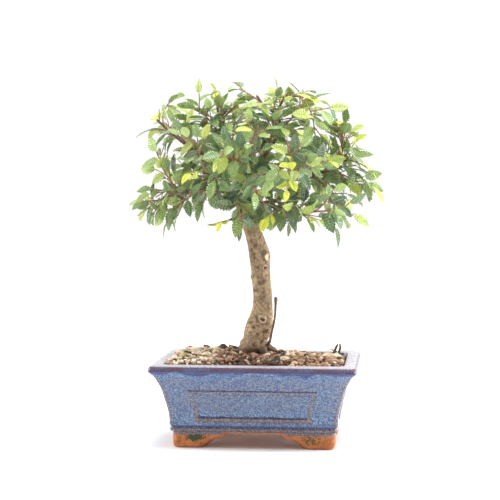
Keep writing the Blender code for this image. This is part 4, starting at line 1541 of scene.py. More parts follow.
@dataclass
class Wood:
    """The woody plant: trunk, root flare, knots, sucker, limbs, side branches and pruned stubs."""

    growth: Growth
    voxel: float = 0.00066
    slimmer: float = 0.89
    spur_sides: int = 9

    SUCKER = (
        (4, -3, 86, 2.4), (11, -5, 92, 1.8), (14, -6, 103, 1.3), (16.8, -5, 117, 1.3), (17.8, -5, 131, 1.4),
        (18, -5, 136, 2.1), (18, -5, 139, 1.5),
    )
    ROOTS = (
        ((-6.5, -2, 96, 5.9), (-11.5, -6.5, 87, 4.3), (-17, -11, 80, 2.6)),
        ((1, -4, 91, 5.4), (6, -8, 85, 3.8), (10, -11, 80, 2.4)),
        ((2, 8, 92, 6.0), (9, 13, 86, 4.4), (15, 17, 81, 2.8)),
        ((-10, 9, 92, 6.5), (-17, 14, 86, 4.4), (-22, 19, 82, 2.8)),
    )
    SCARS = (
        Scar((4.5, -8.5, 117), 5.0, 1.7, False), Scar((8.4, -4.5, 179.5), 4.2, 1.3, True),
        Scar((7.8, -4.5, 168.0), 3.4, 1.1, False), Scar((-7, 2, 158), 3.0, 1.2, False),
    )
    BLOTCHES = (
        (-13.9, 215.0, 1.6), (-7.1, 195.4, 1.6), (-3.5, 189.6, 2.4), (-6.7, 185.1, 1.8), (-4.9, 182.0, 2.2),
        (-3.5, 177.9, 2.0), (-6.2, 173.7, 1.4), (6.4, 192.8, 1.2), (5.5, 184.2, 2.4), (8.6, 168.1, 2.6),
        (-0.9, 168.5, 2.6), (5.5, 154.2, 2.6), (1.6, 152.7, 1.6), (-5.6, 159.1, 1.6), (-3.1, 145.2, 1.8),
        (-1.8, 119.4, 2.0), (-7.6, 113.2, 2.0), (-4.0, 108.7, 2.2), (13.2, 108.0, 1.6), (7.6, 103.9, 2.6),
        (0.1, 101.3, 1.8), (4.1, 94.3, 2.2), (-4.0, 90.2, 2.0), (9.1, 89.3, 4.0),
    )

    def stems(self) -> list[Branch]:
        """The trunk, sucker, roots, limbs and stubs, each as a smooth path.

        Returns:
            The stems.
        """
        rough = [[*self.growth.TRUNK], [*self.SUCKER], *[[*root] for root in self.ROOTS]]
        made = [Branch([mm(*ring[:3]) for ring in rings], [ring[3] * MM for ring in rings]) for rings in rough]
        made[0].radii[:3] = [radius * self.slimmer for radius in made[0].radii[:3]]
        made += self.growth.wood[:len(self.growth.LIMBS) + len(self.growth.STUB_ENDS)]
        return [Branch(*smooth_path(branch.points, branch.radii, 0.0025)) for branch in made]

    def fused(self, stems: list[Branch]) -> tuple[Array, list[Face], Array]:
        """One smooth skin round all the stems.

        Args:
            stems: The paths that it wraps.

        Returns:
            Its points, faces and normals.
        """
        points: list[Vector] = []
        faces: list[Face] = []
        for stem in stems:
            sides = 28 if max(stem.radii) > 0.006 else 12
            more, loops = tube(stem.points, stem.radii, sides)
            faces += [[corner + len(points) for corner in loop] for loop in loops]
            points += more
        mesh = bpy.data.meshes.new("stems")
        mesh.from_pydata([tuple(point) for point in points], [], faces)
        rough = bpy.data.objects.new("stems", mesh)
        bpy.context.scene.collection.objects.link(rough)
        wrap = rough.modifiers.new("wrap", "REMESH")
        wrap.mode = "VOXEL"
        wrap.voxel_size = self.voxel
        soften = rough.modifiers.new("soften", "SMOOTH")
        soften.factor = 0.5
        soften.iterations = 5
        fine = bpy.data.meshes.new_from_object(rough.evaluated_get(bpy.context.evaluated_depsgraph_get()))
        bpy.data.objects.remove(rough)
        count = len(fine.vertices)
        spots = np.zeros(count * 3)
        normals = np.zeros(count * 3)
        fine.vertices.foreach_get("co", spots)
        fine.vertices.foreach_get("normal", normals)
        loops = [tuple(polygon.vertices) for polygon in fine.polygons]
        return spots.reshape(-1, 3), loops, normals.reshape(-1, 3)

    @staticmethod
    def girth(points: Array, stems: list[Branch]) -> Array:
        """The radius of the stem nearest to each point, in metres.

        Args:
            points: The skin's points.
            stems: The stems.

        Returns:
            A radius for each point.
        """
        centres = np.array([point[:] for stem in stems for point in stem.points])
        radii = np.array([radius for stem in stems for radius in stem.radii])
        found = np.zeros(len(points))
        for start in range(0, len(points), 4000):
            part = points[start:start + 4000]
            gap = np.linalg.norm(part[:, None] - centres[None], axis=2) - radii[None]
            found[start:start + 4000] = radii[np.argmin(gap, axis=1)]
        return found

    def rough_bark(self, points: Array, normals: Array, girth: Array) -> tuple[Array, ...]:
        """The bark's own relief and its marks.

        Args:
            points: The skin's points.
            normals: Their normals.
            girth: The stem's radius at each.

        Returns:
            The moved points, their place marks and their tints.
        """
        lift = np.zeros(len(points))
        for i, (point, radius) in enumerate(zip(points, girth)):
            spot = Vector(point)
            lumps = noise.noise(spot * 70.0) * 0.055 + noise.noise(spot * 190.0) * 0.030
            cracks = noise.noise(Vector((point[0] * 420.0, point[1] * 420.0, point[2] * 230.0)))
            wrinkle = math.sin(point[2] * 1500.0 + 5.0 * noise.noise(spot * 130.0))
            folded = math.exp(-((point[2] - 0.107) / 0.012) ** 2)
            lift[i] = radius * lumps + 0.00022 * cracks + 0.00030 * wrinkle * folded
        lift *= np.clip(girth / 0.004, 0.35, 1.0)
        scarred = np.zeros(len(points))
        pale = np.zeros(len(points))
        warp = np.array([noise.noise(Vector(point) * 330.0) for point in points])
        for scar in self.SCARS:
            off = (points - np.array(scar.middle) * MM) * np.array((1.0, 1.0, 0.62 if scar.pale else 1.15))
            apart = np.linalg.norm(off, axis=1) / (scar.radius * MM) + 0.42 * warp
            dome = np.exp(-(apart * 1.05) ** 2)
            ring = np.exp(-((apart - 0.80) / 0.17) ** 2)
            lift += scar.swell * MM * dome - 0.45 * MM * ring - 0.9 * MM * np.exp(-(apart / 0.28) ** 2)
            if scar.pale:
                scarred = np.maximum(scarred, 0.85 * ring)
                pale = np.maximum(pale, 1.0 - smoothstep(apart, 0.34, 0.66))
            else:
                pale = np.maximum(pale, 0.45 * ring)
                scarred = np.maximum(scarred, 1.1 * (1.0 - smoothstep(apart, 0.34, 0.62)))
                scarred = np.maximum(scarred, 0.85 * np.exp(-((apart - 1.16) / 0.17) ** 2))
        ahead = np.clip(-2.5 * normals[:, 1], 0.0, 1.0)
        for x, z, radius in self.BLOTCHES:
            apart = np.hypot(points[:, 0] - x * MM, points[:, 2] - z * MM) / (1.25 * radius * MM) + 0.75 * warp
            dent = np.exp(-np.maximum(apart, 0.0) ** 2) * ahead
            scarred = np.maximum(scarred, 0.80 * dent)
            lift -= 0.25 * MM * dent
        thin = 1.0 - smoothstep(girth, 0.0026, 0.0060)
        moist = 1.0 - smoothstep(points[:, 2], 0.0810, 0.0940)
        place = np.column_stack([thin, scarred, moist])
        low = 0.75 - 0.75 * smoothstep(points[:, 2], 0.1050, 0.1450)
        tint = np.column_stack([pale, low, pale * 0])
        return points + normals * lift[:, None], place, tint

    def build(self, bark: Material) -> None:
        """Makes the trunk with its limbs, and the side branches.

        Args:
            bark: The finish of the wood.
        """
        stems = self.stems()
        points, faces, normals = self.fused(stems)
        moved, place, tint = self.rough_bark(points, normals, self.girth(points, stems))
        mould = Mould("elm_trunk")
        mould.add(moved, faces, 0, place, tint)
        mould.cast((bark,), ("trunk",))
        spurs = Mould("side_branches")
        for spur in self.growth.wood[len(self.growth.LIMBS) + len(self.growth.STUB_ENDS):]:
            path, radii = smooth_path(spur.points, spur.radii, 0.0012)
            for i, point in enumerate(path):
                collar = math.exp(-(i * 0.0012 / 0.0030) ** 2)
                knobble = 0.10 * noise.noise(point * 420.0)
                radii[i] *= 1.0 + 0.55 * collar + knobble
                path[i] = point + noise.noise_vector(point * 95.0) * 0.00045
            ring, loops = tube(path, radii, self.spur_sides)
            spurs.add(np.array(ring), loops, 0, (0.92, 0.0, 0.0))
        spurs.cast((bark,), ("trunk",))


# Soil and gravel


@dataclass
class Bed:
    """The filling of the pot: crumbly soil with gravel on it."""

    edge: float = 0.0735
    mound: float = 0.0080
    half_x: float = 0.0874
    half_y: float = 0.0624
    corner: float = 0.009
    stump: float = 0.0150
    facets: int = 7
    inner: tuple[tuple[float, float, float], ...] = (
        (12.55, 73, 8.65), (13.95, 64, 8.65), (17.95, 51, 8.65), (22.75, 34, 7.65), (24.55, 20.3, 6.65),
        (28.35, 16.35, 5.65),
    )

    COBBLES = (
        (-72, -25, 6.0, 1.25, (0.66, 0.3, 1.0)), (-49, -26, 4.6, 1.9, (0.90, 0.6, 0.0)),
        (-80, -14, 4.6, 1.1, (0.70, 0.2, 0.0)), (78, 34, 4.4, 1.7, (0.86, 0.4, 0.0)),
        (69, 48, 4.2, 1.1, (0.56, 0.2, 0.0)), (-24, -14, 2.6, 1.3, (0.84, 0.4, 0.6)),
        (-38, 22, 5.0, 1.1, (0.02, 0.0, 0.0)), (-28, 28, 4.6, 1.2, (0.06, 0.0, 0.0)),
        (66, 6, 4.0, 1.5, (0.88, 0.5, 0.0)), (30, -8, 3.2, 1.4, (0.95, 0.6, 0.0)),
    )
    PRONGS = (
        ((74, 49, 77), (76, 50, 82), (78, 50, 86)), ((79, 50, 77), (80.5, 50, 82), (80, 50, 86.5)),
        ((77, 50, 78), (73, 49, 80), (69, 49, 81)), ((-36, 10, 84), (-32, 12, 85.5), (-27, 13, 85)),
    )

    def ground(self, x: float, y: float) -> float:
        """The height of the soil: mounded at the trunk and back left, low at the back right.

        Args:
            x: How far right of the middle, in metres.
            y: How far behind the middle, in metres.

        Returns:
            The height, in metres.
        """
        span = max(0.0, (1 - (x / 0.089) ** 2) * (1 - (y / 0.064) ** 2))
        left = math.exp(-((x + 0.056) ** 2 + (y - 0.020) ** 2) / (2 * 0.026 ** 2))
        right = math.exp(-((x - 0.060) ** 2 + (y - 0.044) ** 2) / (2 * 0.026 ** 2))
        return self.edge + self.mound * math.sqrt(span) + 0.0020 * left - 0.0018 * right - 0.020 * x

    def loop(self, half_x: float, half_y: float, corner: float, steps: int) -> list[Vector]:
        """A flat loop in the shape of a rectangle with rounded corners.

        Args:
            half_x: Half its length.
            half_y: Half its depth.
            corner: The corners' radius.
            steps: How many steps a corner has.

        Returns:
            The loop's points.
        """
        points = []
        for quarter, (sx, sy) in enumerate(((1, 1), (-1, 1), (-1, -1), (1, -1))):
            for step in range(9):
                angle = math.radians(90 * (quarter + step / 8))
                x = sx * (half_x - corner) + corner * math.cos(angle)
                y = sy * (half_y - corner) + corner * math.sin(angle)
                points.append(Vector((x, y, 0.0)))
            ahead = ((-1, 1), (-1, -1), (1, -1), (1, 1))[quarter]
            far = Vector((
                ahead[0] * (half_x - corner) + (corner * math.cos(angle)),
                ahead[1] * (half_y - corner) + (corner * math.sin(angle)), 0.0,
            ))
            last = points[-1].copy()
            points += [last.lerp(far, k / steps) for k in range(1, steps)]
        return points

    def surface(self, earth: Material) -> None:
        """Makes the soil, from its rough top down the inside of the pot to the floor.

        Args:
            earth: The finish of the soil.
        """
        rings = []
        for share in [0.02 + 0.98 * k / 64 for k in range(65)]:
            ring = self.loop(self.half_x * share, self.half_y * share, self.corner * share, 30)
            for point in ring:
                spot = Vector((point.x, point.y, 0.3))
                rough = noise.noise(spot * 160.0) * 0.0011 + noise.noise(spot * 520.0) * 0.0006
                point.z = self.ground(point.x, point.y) + rough - 0.0006
            rings.append(ring)
        for inset, level, corner in self.inner:
            half_x, half_y = 0.100 - inset * MM, 0.075 - inset * MM
            ring = self.loop(half_x, half_y, corner * MM, 30)
            for point in ring:
                point.z = min(level * MM, self.ground(point.x, point.y) - 0.001)
            rings.append(ring)
        mould = Mould("soil_bed")
        points, faces = loft(rings)
        mould.add(np.array([point[:] for point in points]), faces)
        mould.cast((earth,), ("soil",))

    def stone(
        self, mould: Mould, middle: Vector, size: float, levels: int, tint: Colour, draw: Draw,
        stretch: float = 1.0,
    ) -> None:
        """Adds one stone, partly sunk.

        Args:
            mould: The piece that it goes into.
            middle: Its middle.
            size: Its radius.
            levels: How finely it is cut.
            tint: Its kind, lightness and moss.
            draw: The random stream.
            stretch: How much longer than wide it is.
        """
        points, faces = self.balls[levels]
        form = np.array((draw.uniform(0.95, 1.25) * stretch, draw.uniform(0.75, 1.0), draw.uniform(0.50, 0.78)))
        angles = (draw.uniform(-0.35, 0.35), draw.uniform(-0.35, 0.35), draw.uniform(0, math.tau))
        turn = np.array(Matrix.Rotation(angles[2], 3, "Z") @ Matrix.Rotation(angles[0], 3, "X")
                        @ Matrix.Rotation(angles[1], 3, "Y"))
        offset = Vector((draw.random(), draw.random(), draw.random())) * 40.0
        bulge = np.array([1.0 + 0.34 * noise.noise(Vector(point) * 1.1 + offset)
                          + 0.14 * noise.noise(Vector(point) * 2.7 + offset) for point in points])
        cut = points * bulge[:, None]
        for _ in range(self.facets):
            way = np.array(Vector((draw.gauss(0, 1), draw.gauss(0, 1), draw.gauss(0, 1))).normalized())
            cut -= np.outer(np.maximum(cut @ way - draw.uniform(0.52, 0.86), 0.0), way)
        shaped = cut * form * size * 1.08
        mould.add(shaped @ turn.T + np.array(middle), faces, 0, (0, 0, 0), tint)

    def inside(self, x: float, y: float, margin: float) -> bool:
        """Whether a place on the bed is clear of the wall and the trunk by this margin.

        Args:
            x: How far right of the middle, in metres.
            y: How far behind the middle, in metres.
            margin: The room that it needs, in metres.

        Returns:
            True when it is clear.
        """
        far_x = max(abs(x) - (self.half_x - self.corner), 0.0)
        far_y = max(abs(y) - (self.half_y - self.corner), 0.0)
        clear = math.hypot(x + 0.006, y - 0.004) > self.stump + 0.5 * margin
        return clear and math.hypot(far_x, far_y) < self.corner - margin

    def kind_at(self, x: float, draw: Draw) -> Colour:
        """A stone's kind, lightness and moss: pale to the sides, brown in the middle.

        Args:
            x: How far right of the middle, in metres.
            draw: The random stream.

        Returns:
            The three numbers, as a tint.
        """
        side = float(smoothstep(abs(x + 0.004), 0.014, 0.046))
        pale = 0.36 + (0.56 if x < 0 else 0.25) * side
        if draw.random() < 0.24 - 0.10 * side:
            pale = 0.08
        kind = min(max(draw.gauss(pale, 0.25), 0.0), 1.0)
        return kind, draw.uniform(0.1, 0.8), 1.0 if draw.random() < 0.02 else 0.0

    def scatter(self, mould: Mould, count: int, low: float, high: float, levels: int, draw: Draw,
                taken: list[tuple[float, float, float]]) -> None:
        """Scatters stones of one size class.

        Args:
            mould: The piece that they go into.
            count: How many are tried.
            low: The smallest radius.
            high: The largest radius.
            levels: How finely each is cut.
            draw: The random stream.
            taken: The places and sizes of the stones that later ones keep clear of.
        """
        for _ in range(count):
            x, y = draw.uniform(-self.half_x, self.half_x), draw.uniform(-self.half_y, self.half_y)
            size = draw.uniform(low, high)
            if not self.inside(x, y, size * 1.05):
                continue
            if any(math.hypot(x - a, y - b) < 0.80 * (size + c) for a, b, c in taken):
                continue
            if low > 0.0009:
                taken.append((x, y, size))
            z = self.ground(x, y) + size * draw.uniform(0.0, 0.45)
            self.stone(mould, Vector((x, y, z)), size, levels, self.kind_at(x, draw), draw)

    def gravel(self, stone: Material, wood: Material) -> None:
        """Makes the gravel, in three size classes, and the litter on it.

        Args:
            stone: The finish of the stones.
            wood: The finish of the litter.
        """
        draw = Draw(404)
        self.balls = {levels: ball(levels) for levels in (1, 2, 3)}
        taken: list[tuple[float, float, float]] = []
        large = Mould("pebbles")
        for x, y, size, stretch, tint in self.COBBLES:
            x, y, size = x * MM, y * MM, size * MM
            taken.append((x, y, size))
            self.stone(large, Vector((x, y, self.ground(x, y) + 0.25 * size)), size, 3, tint, draw, stretch)
        self.scatter(large, 260, 0.0028, 0.0046, 2, draw, taken)
        large.cast((stone,))
        medium = Mould("gravel")
        self.scatter(medium, 2600, 0.0013, 0.0027, 2, draw, taken)
        medium.cast((stone,))
        grit = Mould("grit")
        self.scatter(grit, 2600, 0.0005, 0.0009, 1, draw, [])
        grit.cast((stone,))
        self.litter(wood, draw)

    def litter(self, wood: Material, draw: Draw) -> None:
        """Makes the dry prongs at the back right and the bits of twig on the gravel.

        Args:
            wood: The finish of the litter.
            draw: The random stream.
        """
        mould = Mould("dry_litter")
        bits = list(self.PRONGS)
        for _ in range(16):
            x, y = draw.uniform(-78, 78), draw.uniform(-52, 52)
            turn, reach = draw.uniform(0, math.tau), draw.uniform(2.0, 5.5)
            if self.inside(x * MM, y * MM, 0.006):
                z = self.ground(x * MM, y * MM) / MM + 1.6
                dx, dy = reach * math.cos(turn), reach * math.sin(turn)
                bits.append(((x - dx, y - dy, z), (x, y, z + 0.8), (x + dx, y + dy, z + 0.3)))
        for i, bit in enumerate(bits):
            width = draw.uniform(0.35, 0.8) * (1.9 if i < 2 else 1.0) * MM
            path, radii = smooth_path([mm(*point) for point in bit], [width, width * 1.1, width * 0.7], 0.0012)
            points, faces = tube(path, radii, 6)
            mould.add(np.array(points), faces, 0, (1.0, 0.55, 0.0))
        mould.cast((wood,))

    def build(self, earth: Material, stone: Material, wood: Material) -> None:
        """Makes the soil, gravel and litter."""
        self.surface(earth)
        self.gravel(stone, wood)


# Pot


@dataclass
class Pot:
    """The glazed pot: rolled lip, hollowed sides with raised frames, foot band and scrolled feet."""

    half_length: float = 0.100
    half_width: float = 0.075
    sole: float = -0.006
    apron: float = 0.0085
    foot_inset: float = 0.0205
    foot_wall: float = 0.010
    floor_under: float = 0.0095
    floor_top: float = 0.016
    panel_top: float = 0.0520
    panel_bottom: float = 0.0200
    panel_margin: float = 0.0258
    ridge: float = 0.0052
    relief: float = 0.0012
    drain_radius: float = 0.008
    drain_spacing: float = 0.080
    arch_x: tuple[float, float] = (0.053, 0.028)
    arch_y: tuple[float, float] = (0.032, 0.020)
    step: float = 0.0007

    OUTER = (
        (19.2, 10.4), (18, 11.4), (18, 13.8), (18.7, 15.2), (17.3, 16.8), (17.2, 21), (16.6, 28), (14.8, 36),
        (12.6, 44), (10.4, 52), (7.2, 59), (3.8, 65), (0.2, 68.8), (-1.2, 70.6), (-1, 72.4), (-0.2, 74.4),
        (1.3, 76.2), (4, 77),
    )
    INNER = (
        (9.5, 77, 8), (11.5, 75.8, 9), (12.2, 73, 9), (13.6, 64, 9), (17.6, 51, 9), (22.4, 34, 8), (24.2, 20, 7),
        (28, 16, 6),
    )
    BLEMISHES = ((38.0, 22.5, 3.6), (-25.0, 13.6, 2.0), (34.0, 36.0, 1.6), (-24.0, 28.5, 1.3))
    ARCH_CURVE = ((0.0, 0.005), (0.12, 0.26), (0.32, 0.46), (0.62, 0.60), (0.84, 0.84), (1.0, 1.0))

    def __post_init__(self) -> None:
        """Works out the stations round the pot's edge."""
        long = self.stations(0.64, 0.83, 26)
        short = self.stations(0.48, 0.74, 22)
        rows: list[tuple[float, float, float, float]] = []
        for quarter, (sx, sy) in enumerate(((1, 1), (-1, 1), (-1, -1), (1, -1))):
            for k in range(9):
                angle = math.radians(90 * (quarter + k / 8))
                rows.append((sx, sy, math.cos(angle), math.sin(angle)))
            side = long if quarter % 2 == 0 else short
            nx, ny = math.cos(angle), math.sin(angle)
            for v in side[::-1]:
                rows.append((v, sy, nx, ny) if quarter % 2 == 0 and sx > 0 else
                            (-v, sy, nx, ny) if quarter % 2 == 0 else
                            (sx, v, nx, ny) if sx < 0 and sy > 0 else (sx, -v, nx, ny))
        self.cx, self.cy, self.nx, self.ny = np.array(rows).T
        self.on_x_side = np.abs(self.ny) > 0.999
        self.on_y_side = np.abs(self.nx) > 0.999

    @staticmethod
    def stations(low: float, high: float, parts: int) -> Array:
        """Shares of a side from -1 to 1, ends left out, close together where the frame's uprights stand.

        Args:
            low: The share where the first upright stands.
            high: The share where the last one stands.
            parts: How many parts the side has.

        Returns:
            The shares, in order.
        """
        half = np.concatenate([np.linspace(0, low, 14)[:-1], np.linspace(low, high, parts)[:-1],
                               np.linspace(high, 1.0, 7)[:-1]])
        return np.concatenate([-half[:0:-1], half])

    def ring(self, inset: float, corner: float) -> tuple[Array, Array]:
        """The level loop this far in from the lip, as x and y at each station."""
        half_x, half_y = self.half_length - inset, self.half_width - inset
        return self.cx * (half_x - corner) + corner * self.nx, self.cy * (half_y - corner) + corner * self.ny

    def profile(self, points: Sequence[tuple[float, float]]) -> list[tuple[float, float]]:
        """A smooth, finely cut version of a profile of insets and heights in millimetres."""
        path, _ = smooth_path([Vector((a, b, 0.0)) * MM for a, b in points], [0.0] * len(points), self.step)
        return [(point.x, point.y) for point in path]

    def inset_at(self, z: float) -> float:
        """How far in from the lip the outside wall is at this height."""
        return float(np.interp(z / MM, [b for _, b in self.OUTER], [a for a, _ in self.OUTER])) * MM

    def frame_depth(self, x: Array, y: Array, z: float) -> Array:
        """How far in from the outer edge of the raised frame each station of this level is, in ridge widths.

        Args:
            x: How far right each station is.
            y: How far back each station is.
            z: The level's height.

        Returns:
            A depth for each station.
        """
        if not self.panel_bottom <= z <= self.panel_top:
            return np.full_like(x, -1.0)
        room = -self.panel_margin - self.inset_at(z)
        reach = np.where(self.on_x_side, self.half_length + room, self.half_width + room)
        along = np.where(self.on_x_side, np.abs(x), np.abs(y))
        depth = np.minimum(reach - along, min(z - self.panel_bottom, self.panel_top - z)) / self.ridge
        return np.where(self.on_x_side | self.on_y_side, depth, -1.0)

    def hem(self, x: Array, y: Array) -> Array:
        """The height of the skirt's lower edge at each station: the feet and the arches between them.

        Args:
            x: How far right each station is.
            y: How far back each station is.

        Returns:
            A height for each station.
        """
        shares = np.array([share for share, _ in self.ARCH_CURVE])
        rises = np.array([rise for _, rise in self.ARCH_CURVE])
        low = np.full_like(x, self.sole)
        for on_side, along, (half, run) in ((self.on_x_side, x, self.arch_x), (self.on_y_side, y, self.arch_y)):
            share = (half - np.abs(along)) / run
            rise = np.where(share > 0, np.interp(share, shares, rises), 0.0)
            low = np.where(on_side, self.sole + (self.apron - self.sole) * rise, low)
        return low

    def levels(self) -> list[tuple[Array, Array, Array, Array, Array]]:
        """Every level of the pot from under its floor, round the skirt, up the wall and down the inside.

        Returns:
            For each level: x, y and z at each station, then the place marks and the tints.
        """
        made = []

        def add(inset: float, corner: float, z: Any, marks: Colour, tint: Colour = (0.0, 0.0, 0.0)) -> None:
            """Adds a plain level.

            Args:
                inset: How far in from the full outline it lies.
                corner: Its corners' radius.
                z: Its height.
                marks: Its place marks.
                tint: Its tint.
            """
            x, y = self.ring(inset, corner)
            flat = np.ones_like(x)
            made.append((x, y, z * flat, np.outer(flat, marks), np.outer(flat, tint)))

        wall_in = self.foot_inset + self.foot_wall
        for inset in (0.0725, 0.065, 0.055, 0.045, 0.036):
            add(inset, 0.0008, self.floor_under, (0, 0, 1))
        add(wall_in + 0.0004, 0.003, self.floor_under, (0, 0, 1))
        hem = self.hem(*self.ring(self.foot_inset, 0.005))
        for share in (0.15, 0.5, 0.85):
            add(wall_in, 0.003, self.floor_under + (hem - self.floor_under) * share, (0, 0, 1))
        for inset, lift in ((wall_in - 0.0010, 0.0), (self.foot_inset + 0.0035, 0.0),
                            (self.foot_inset + 0.0014, 0.0008), (self.foot_inset + 0.0003, 0.0026)):
            add(inset, 0.004, hem + lift, (0, 0, 1))
        top = 0.0100
        for k in range(12):
            share = (k + 1) / 12
            z = hem + 0.0026 + (top - hem - 0.0026) * share
            clay = 1.0 - smoothstep(z, self.apron - 0.0022, self.apron - 0.0004)
            x, y = self.ring(self.foot_inset, 0.005)
            marks = np.column_stack([np.full_like(x, 0.75), 0 * x, clay])
            front = self.on_x_side & (self.ny < 0)
            green = 1.15 * np.exp(-((x / MM + 57.0) / 10.5) ** 2 - ((z / MM - 4.6) / 4.2) ** 2)
            olive = 0.50 * np.exp(-((x / MM - 57.0) / 20.0) ** 2)
            made.append((x, y, z, marks, np.column_stack([0 * x, 0 * x, np.maximum(green, olive) * front])))
        for inset, z in self.profile(self.OUTER):
            made.append(self.wall_level(inset, z))
        for inset, z in self.profile([(a, b) for a, b, _ in self.INNER]):
            corner = float(np.interp(inset / MM, [a for a, _, _ in self.INNER], [c for _, _, c in self.INNER]))
            # The rim's top takes the painted highlight; the inside wall darkens towards the soil, partly glaze pooling
            # and partly painted shade.
            rim = 1.0 if z > 0.0755 else 0.0
            pooled_and_shade = float(1.0 - smoothstep(z, 0.060, 0.074)) * 0.6
            add(inset, corner * MM, z, (0.1 if rim else 0.35, pooled_and_shade, 0.0), (rim, 0.0, 0.0))
        for inset in (0.045, 0.060, 0.0725):
            add(inset, 0.0008, self.floor_top, (0, 0, 1))
        return made

    def wall_level(self, inset: float, z: float) -> tuple[Array, ...]:
        """One level of the outside wall, with the raised frames and the glaze's marks, painted shade and painted
        highlight.

        Args:
            inset: How far in from the lip it is.
            z: Its height.

        Returns:
            Its x, y and z at each station, then the place marks and the tints.
        """
        x, y = self.ring(inset, 0.0045)
        height = z / MM
        depth = self.frame_depth(x, y, z)
        on_frame = (depth > 0) & (depth < 1)
        bead = np.where(on_frame, 1 - np.abs(2 * np.clip(depth, 0, 1) - 1) ** 3.5, 0.0)
        lift = bead * self.relief
        wave = np.array([noise.noise(Vector((a, b, z)) * 38.0) for a, b in zip(x, y)])
        drip = np.array([noise.noise(Vector((a, b, 0.0)) * 60.0) for a, b in zip(x, y)])
        corner = ~(self.on_x_side | self.on_y_side)
        rail = 0.45 + 0.35 * np.exp(-((depth - 0.12) / 0.16) ** 2) + 0.30 * np.exp(-((depth - 0.9) / 0.12) ** 2)
        upright = np.where(on_frame, np.where(height > 47, 0.45, np.where(height < 25, 0.85, rail)), 0.0)
        band = float(smoothstep(height, 9.8, 10.6) * (1.0 - smoothstep(height, 13.8, 14.6)))
        edge = np.maximum(upright, np.maximum(0.65 * corner, 0.95 * band))
        # Painted shade: the dark band under the lip's bulge. The groove, the frame's bottom nook and the low wall are
        # darker too, partly glaze pooling and partly painted shade.
        shade_under_lip = smoothstep(height, 67.2 + 3.5 * drip, 69.2 + 3.0 * drip) * (1 - smoothstep(height, 71.6, 72.6))
        groove = 0.9 * math.exp(-((height - 15.1) / 0.7) ** 2)
        nook = 0.85 * math.exp(-((height - 24.2) / 0.8) ** 2) * (depth > 0.75)
        low_wall = 0.38 * float(smoothstep(height, 15.0, 16.2) * (1.0 - smoothstep(height, 19.0, 21.0)))
        pool_and_shade = np.maximum(0.85 * shade_under_lip, np.maximum(nook * (depth < 1.6), groove + low_wall))
        bright = smoothstep(height, 61.0 + 8.0 * drip, 65.0 + 8.0 * drip)
        low = (1.0 - smoothstep(height, 26.0, 33.0)) * 0.9
        blue = np.clip(np.maximum(bright, low) + 0.30 + 0.8 * wave - 0.35 * (55 < height < 63), 0.0, 1.0)
        top_line = math.exp(-((height - 51.5) / 0.55) ** 2) * (depth > -0.02)
        brown_lip = float(smoothstep(height, 71.6, 72.4) * (1.0 - smoothstep(height, 75.2, 75.9)))
        # Painted highlight on the rim's top; the brown lip band and the frame's top line take it below zero, to the
        # brown line colour.
        rim = float(smoothstep(height, 75.3, 76.2)) - brown_lip * (0.80 + 0.5 * drip) - 0.85 * top_line
        front = self.on_x_side & (self.ny < 0)
        patch = 0.0 * x
        for px, pz, size in self.BLEMISHES:
            apart = np.hypot((x / MM - px) / 1.5, height - pz) / size
            patch = np.maximum(patch, 0.9 * np.exp(-apart ** 2 * 2.0) * front)
        marks = np.column_stack([np.clip(edge, 0, 1), np.clip(pool_and_shade, 0, 1), 0 * x])
        tint = np.column_stack([0 * x + rim, blue, patch])
        return x + self.nx * lift, y + self.ny * lift, 0 * x + z, marks, tint

    def build(self, glaze: Material) -> None:
        """Makes the pot and drills its two drain holes.

        Args:
            glaze: The finish of the pot.
        """
        levels = self.levels()
        rings = [np.column_stack([x, y, z]) for x, y, z, _, _ in levels]
        points, faces = loft(rings)
        mould = Mould("glazed_pot")
        mould.add(np.array(points), faces, 0, np.concatenate([row[3] for row in levels]),
                  np.concatenate([row[4] for row in levels]))
        self.drill(mould.cast((glaze,), ("pot",)))

    def drill(self, pot: bpy.types.Object) -> None:
        """Drills the two drain holes.

        Args:
            pot: The pot.
        """
        drills = bpy.data.collections.new("drills")
        bpy.context.scene.collection.children.link(drills)
        for sign in (-1, 1):
            ends = [SHIFT + Vector((sign * self.drain_spacing / 2, 0.0, z))
                    for z in (self.floor_under - 0.004, self.floor_top + 0.004)]
            mesh = bpy.data.meshes.new("drill")
            drill, loops = tube(ends, [self.drain_radius] * 2, 48)
            mesh.from_pydata([tuple(point) for point in drill], [], loops)
            drills.objects.link(bpy.data.objects.new("drill", mesh))
        cut = pot.modifiers.new("drains", "BOOLEAN")
        cut.operation = "DIFFERENCE"
        cut.operand_type = "COLLECTION"
        cut.collection = drills
        bpy.context.view_layer.update()
        with bpy.context.temp_override(object=pot):
            bpy.ops.object.modifier_apply(modifier=cut.name)
        for drill in list(drills.objects):
            bpy.data.objects.remove(drill)
        bpy.data.collections.remove(drills)


# Studio


class Lamp(NamedTuple):
    """A soft square lamp: its name, place and width in metres, and power in watts."""

    name: str
    place: Place
    size: float
    power: float


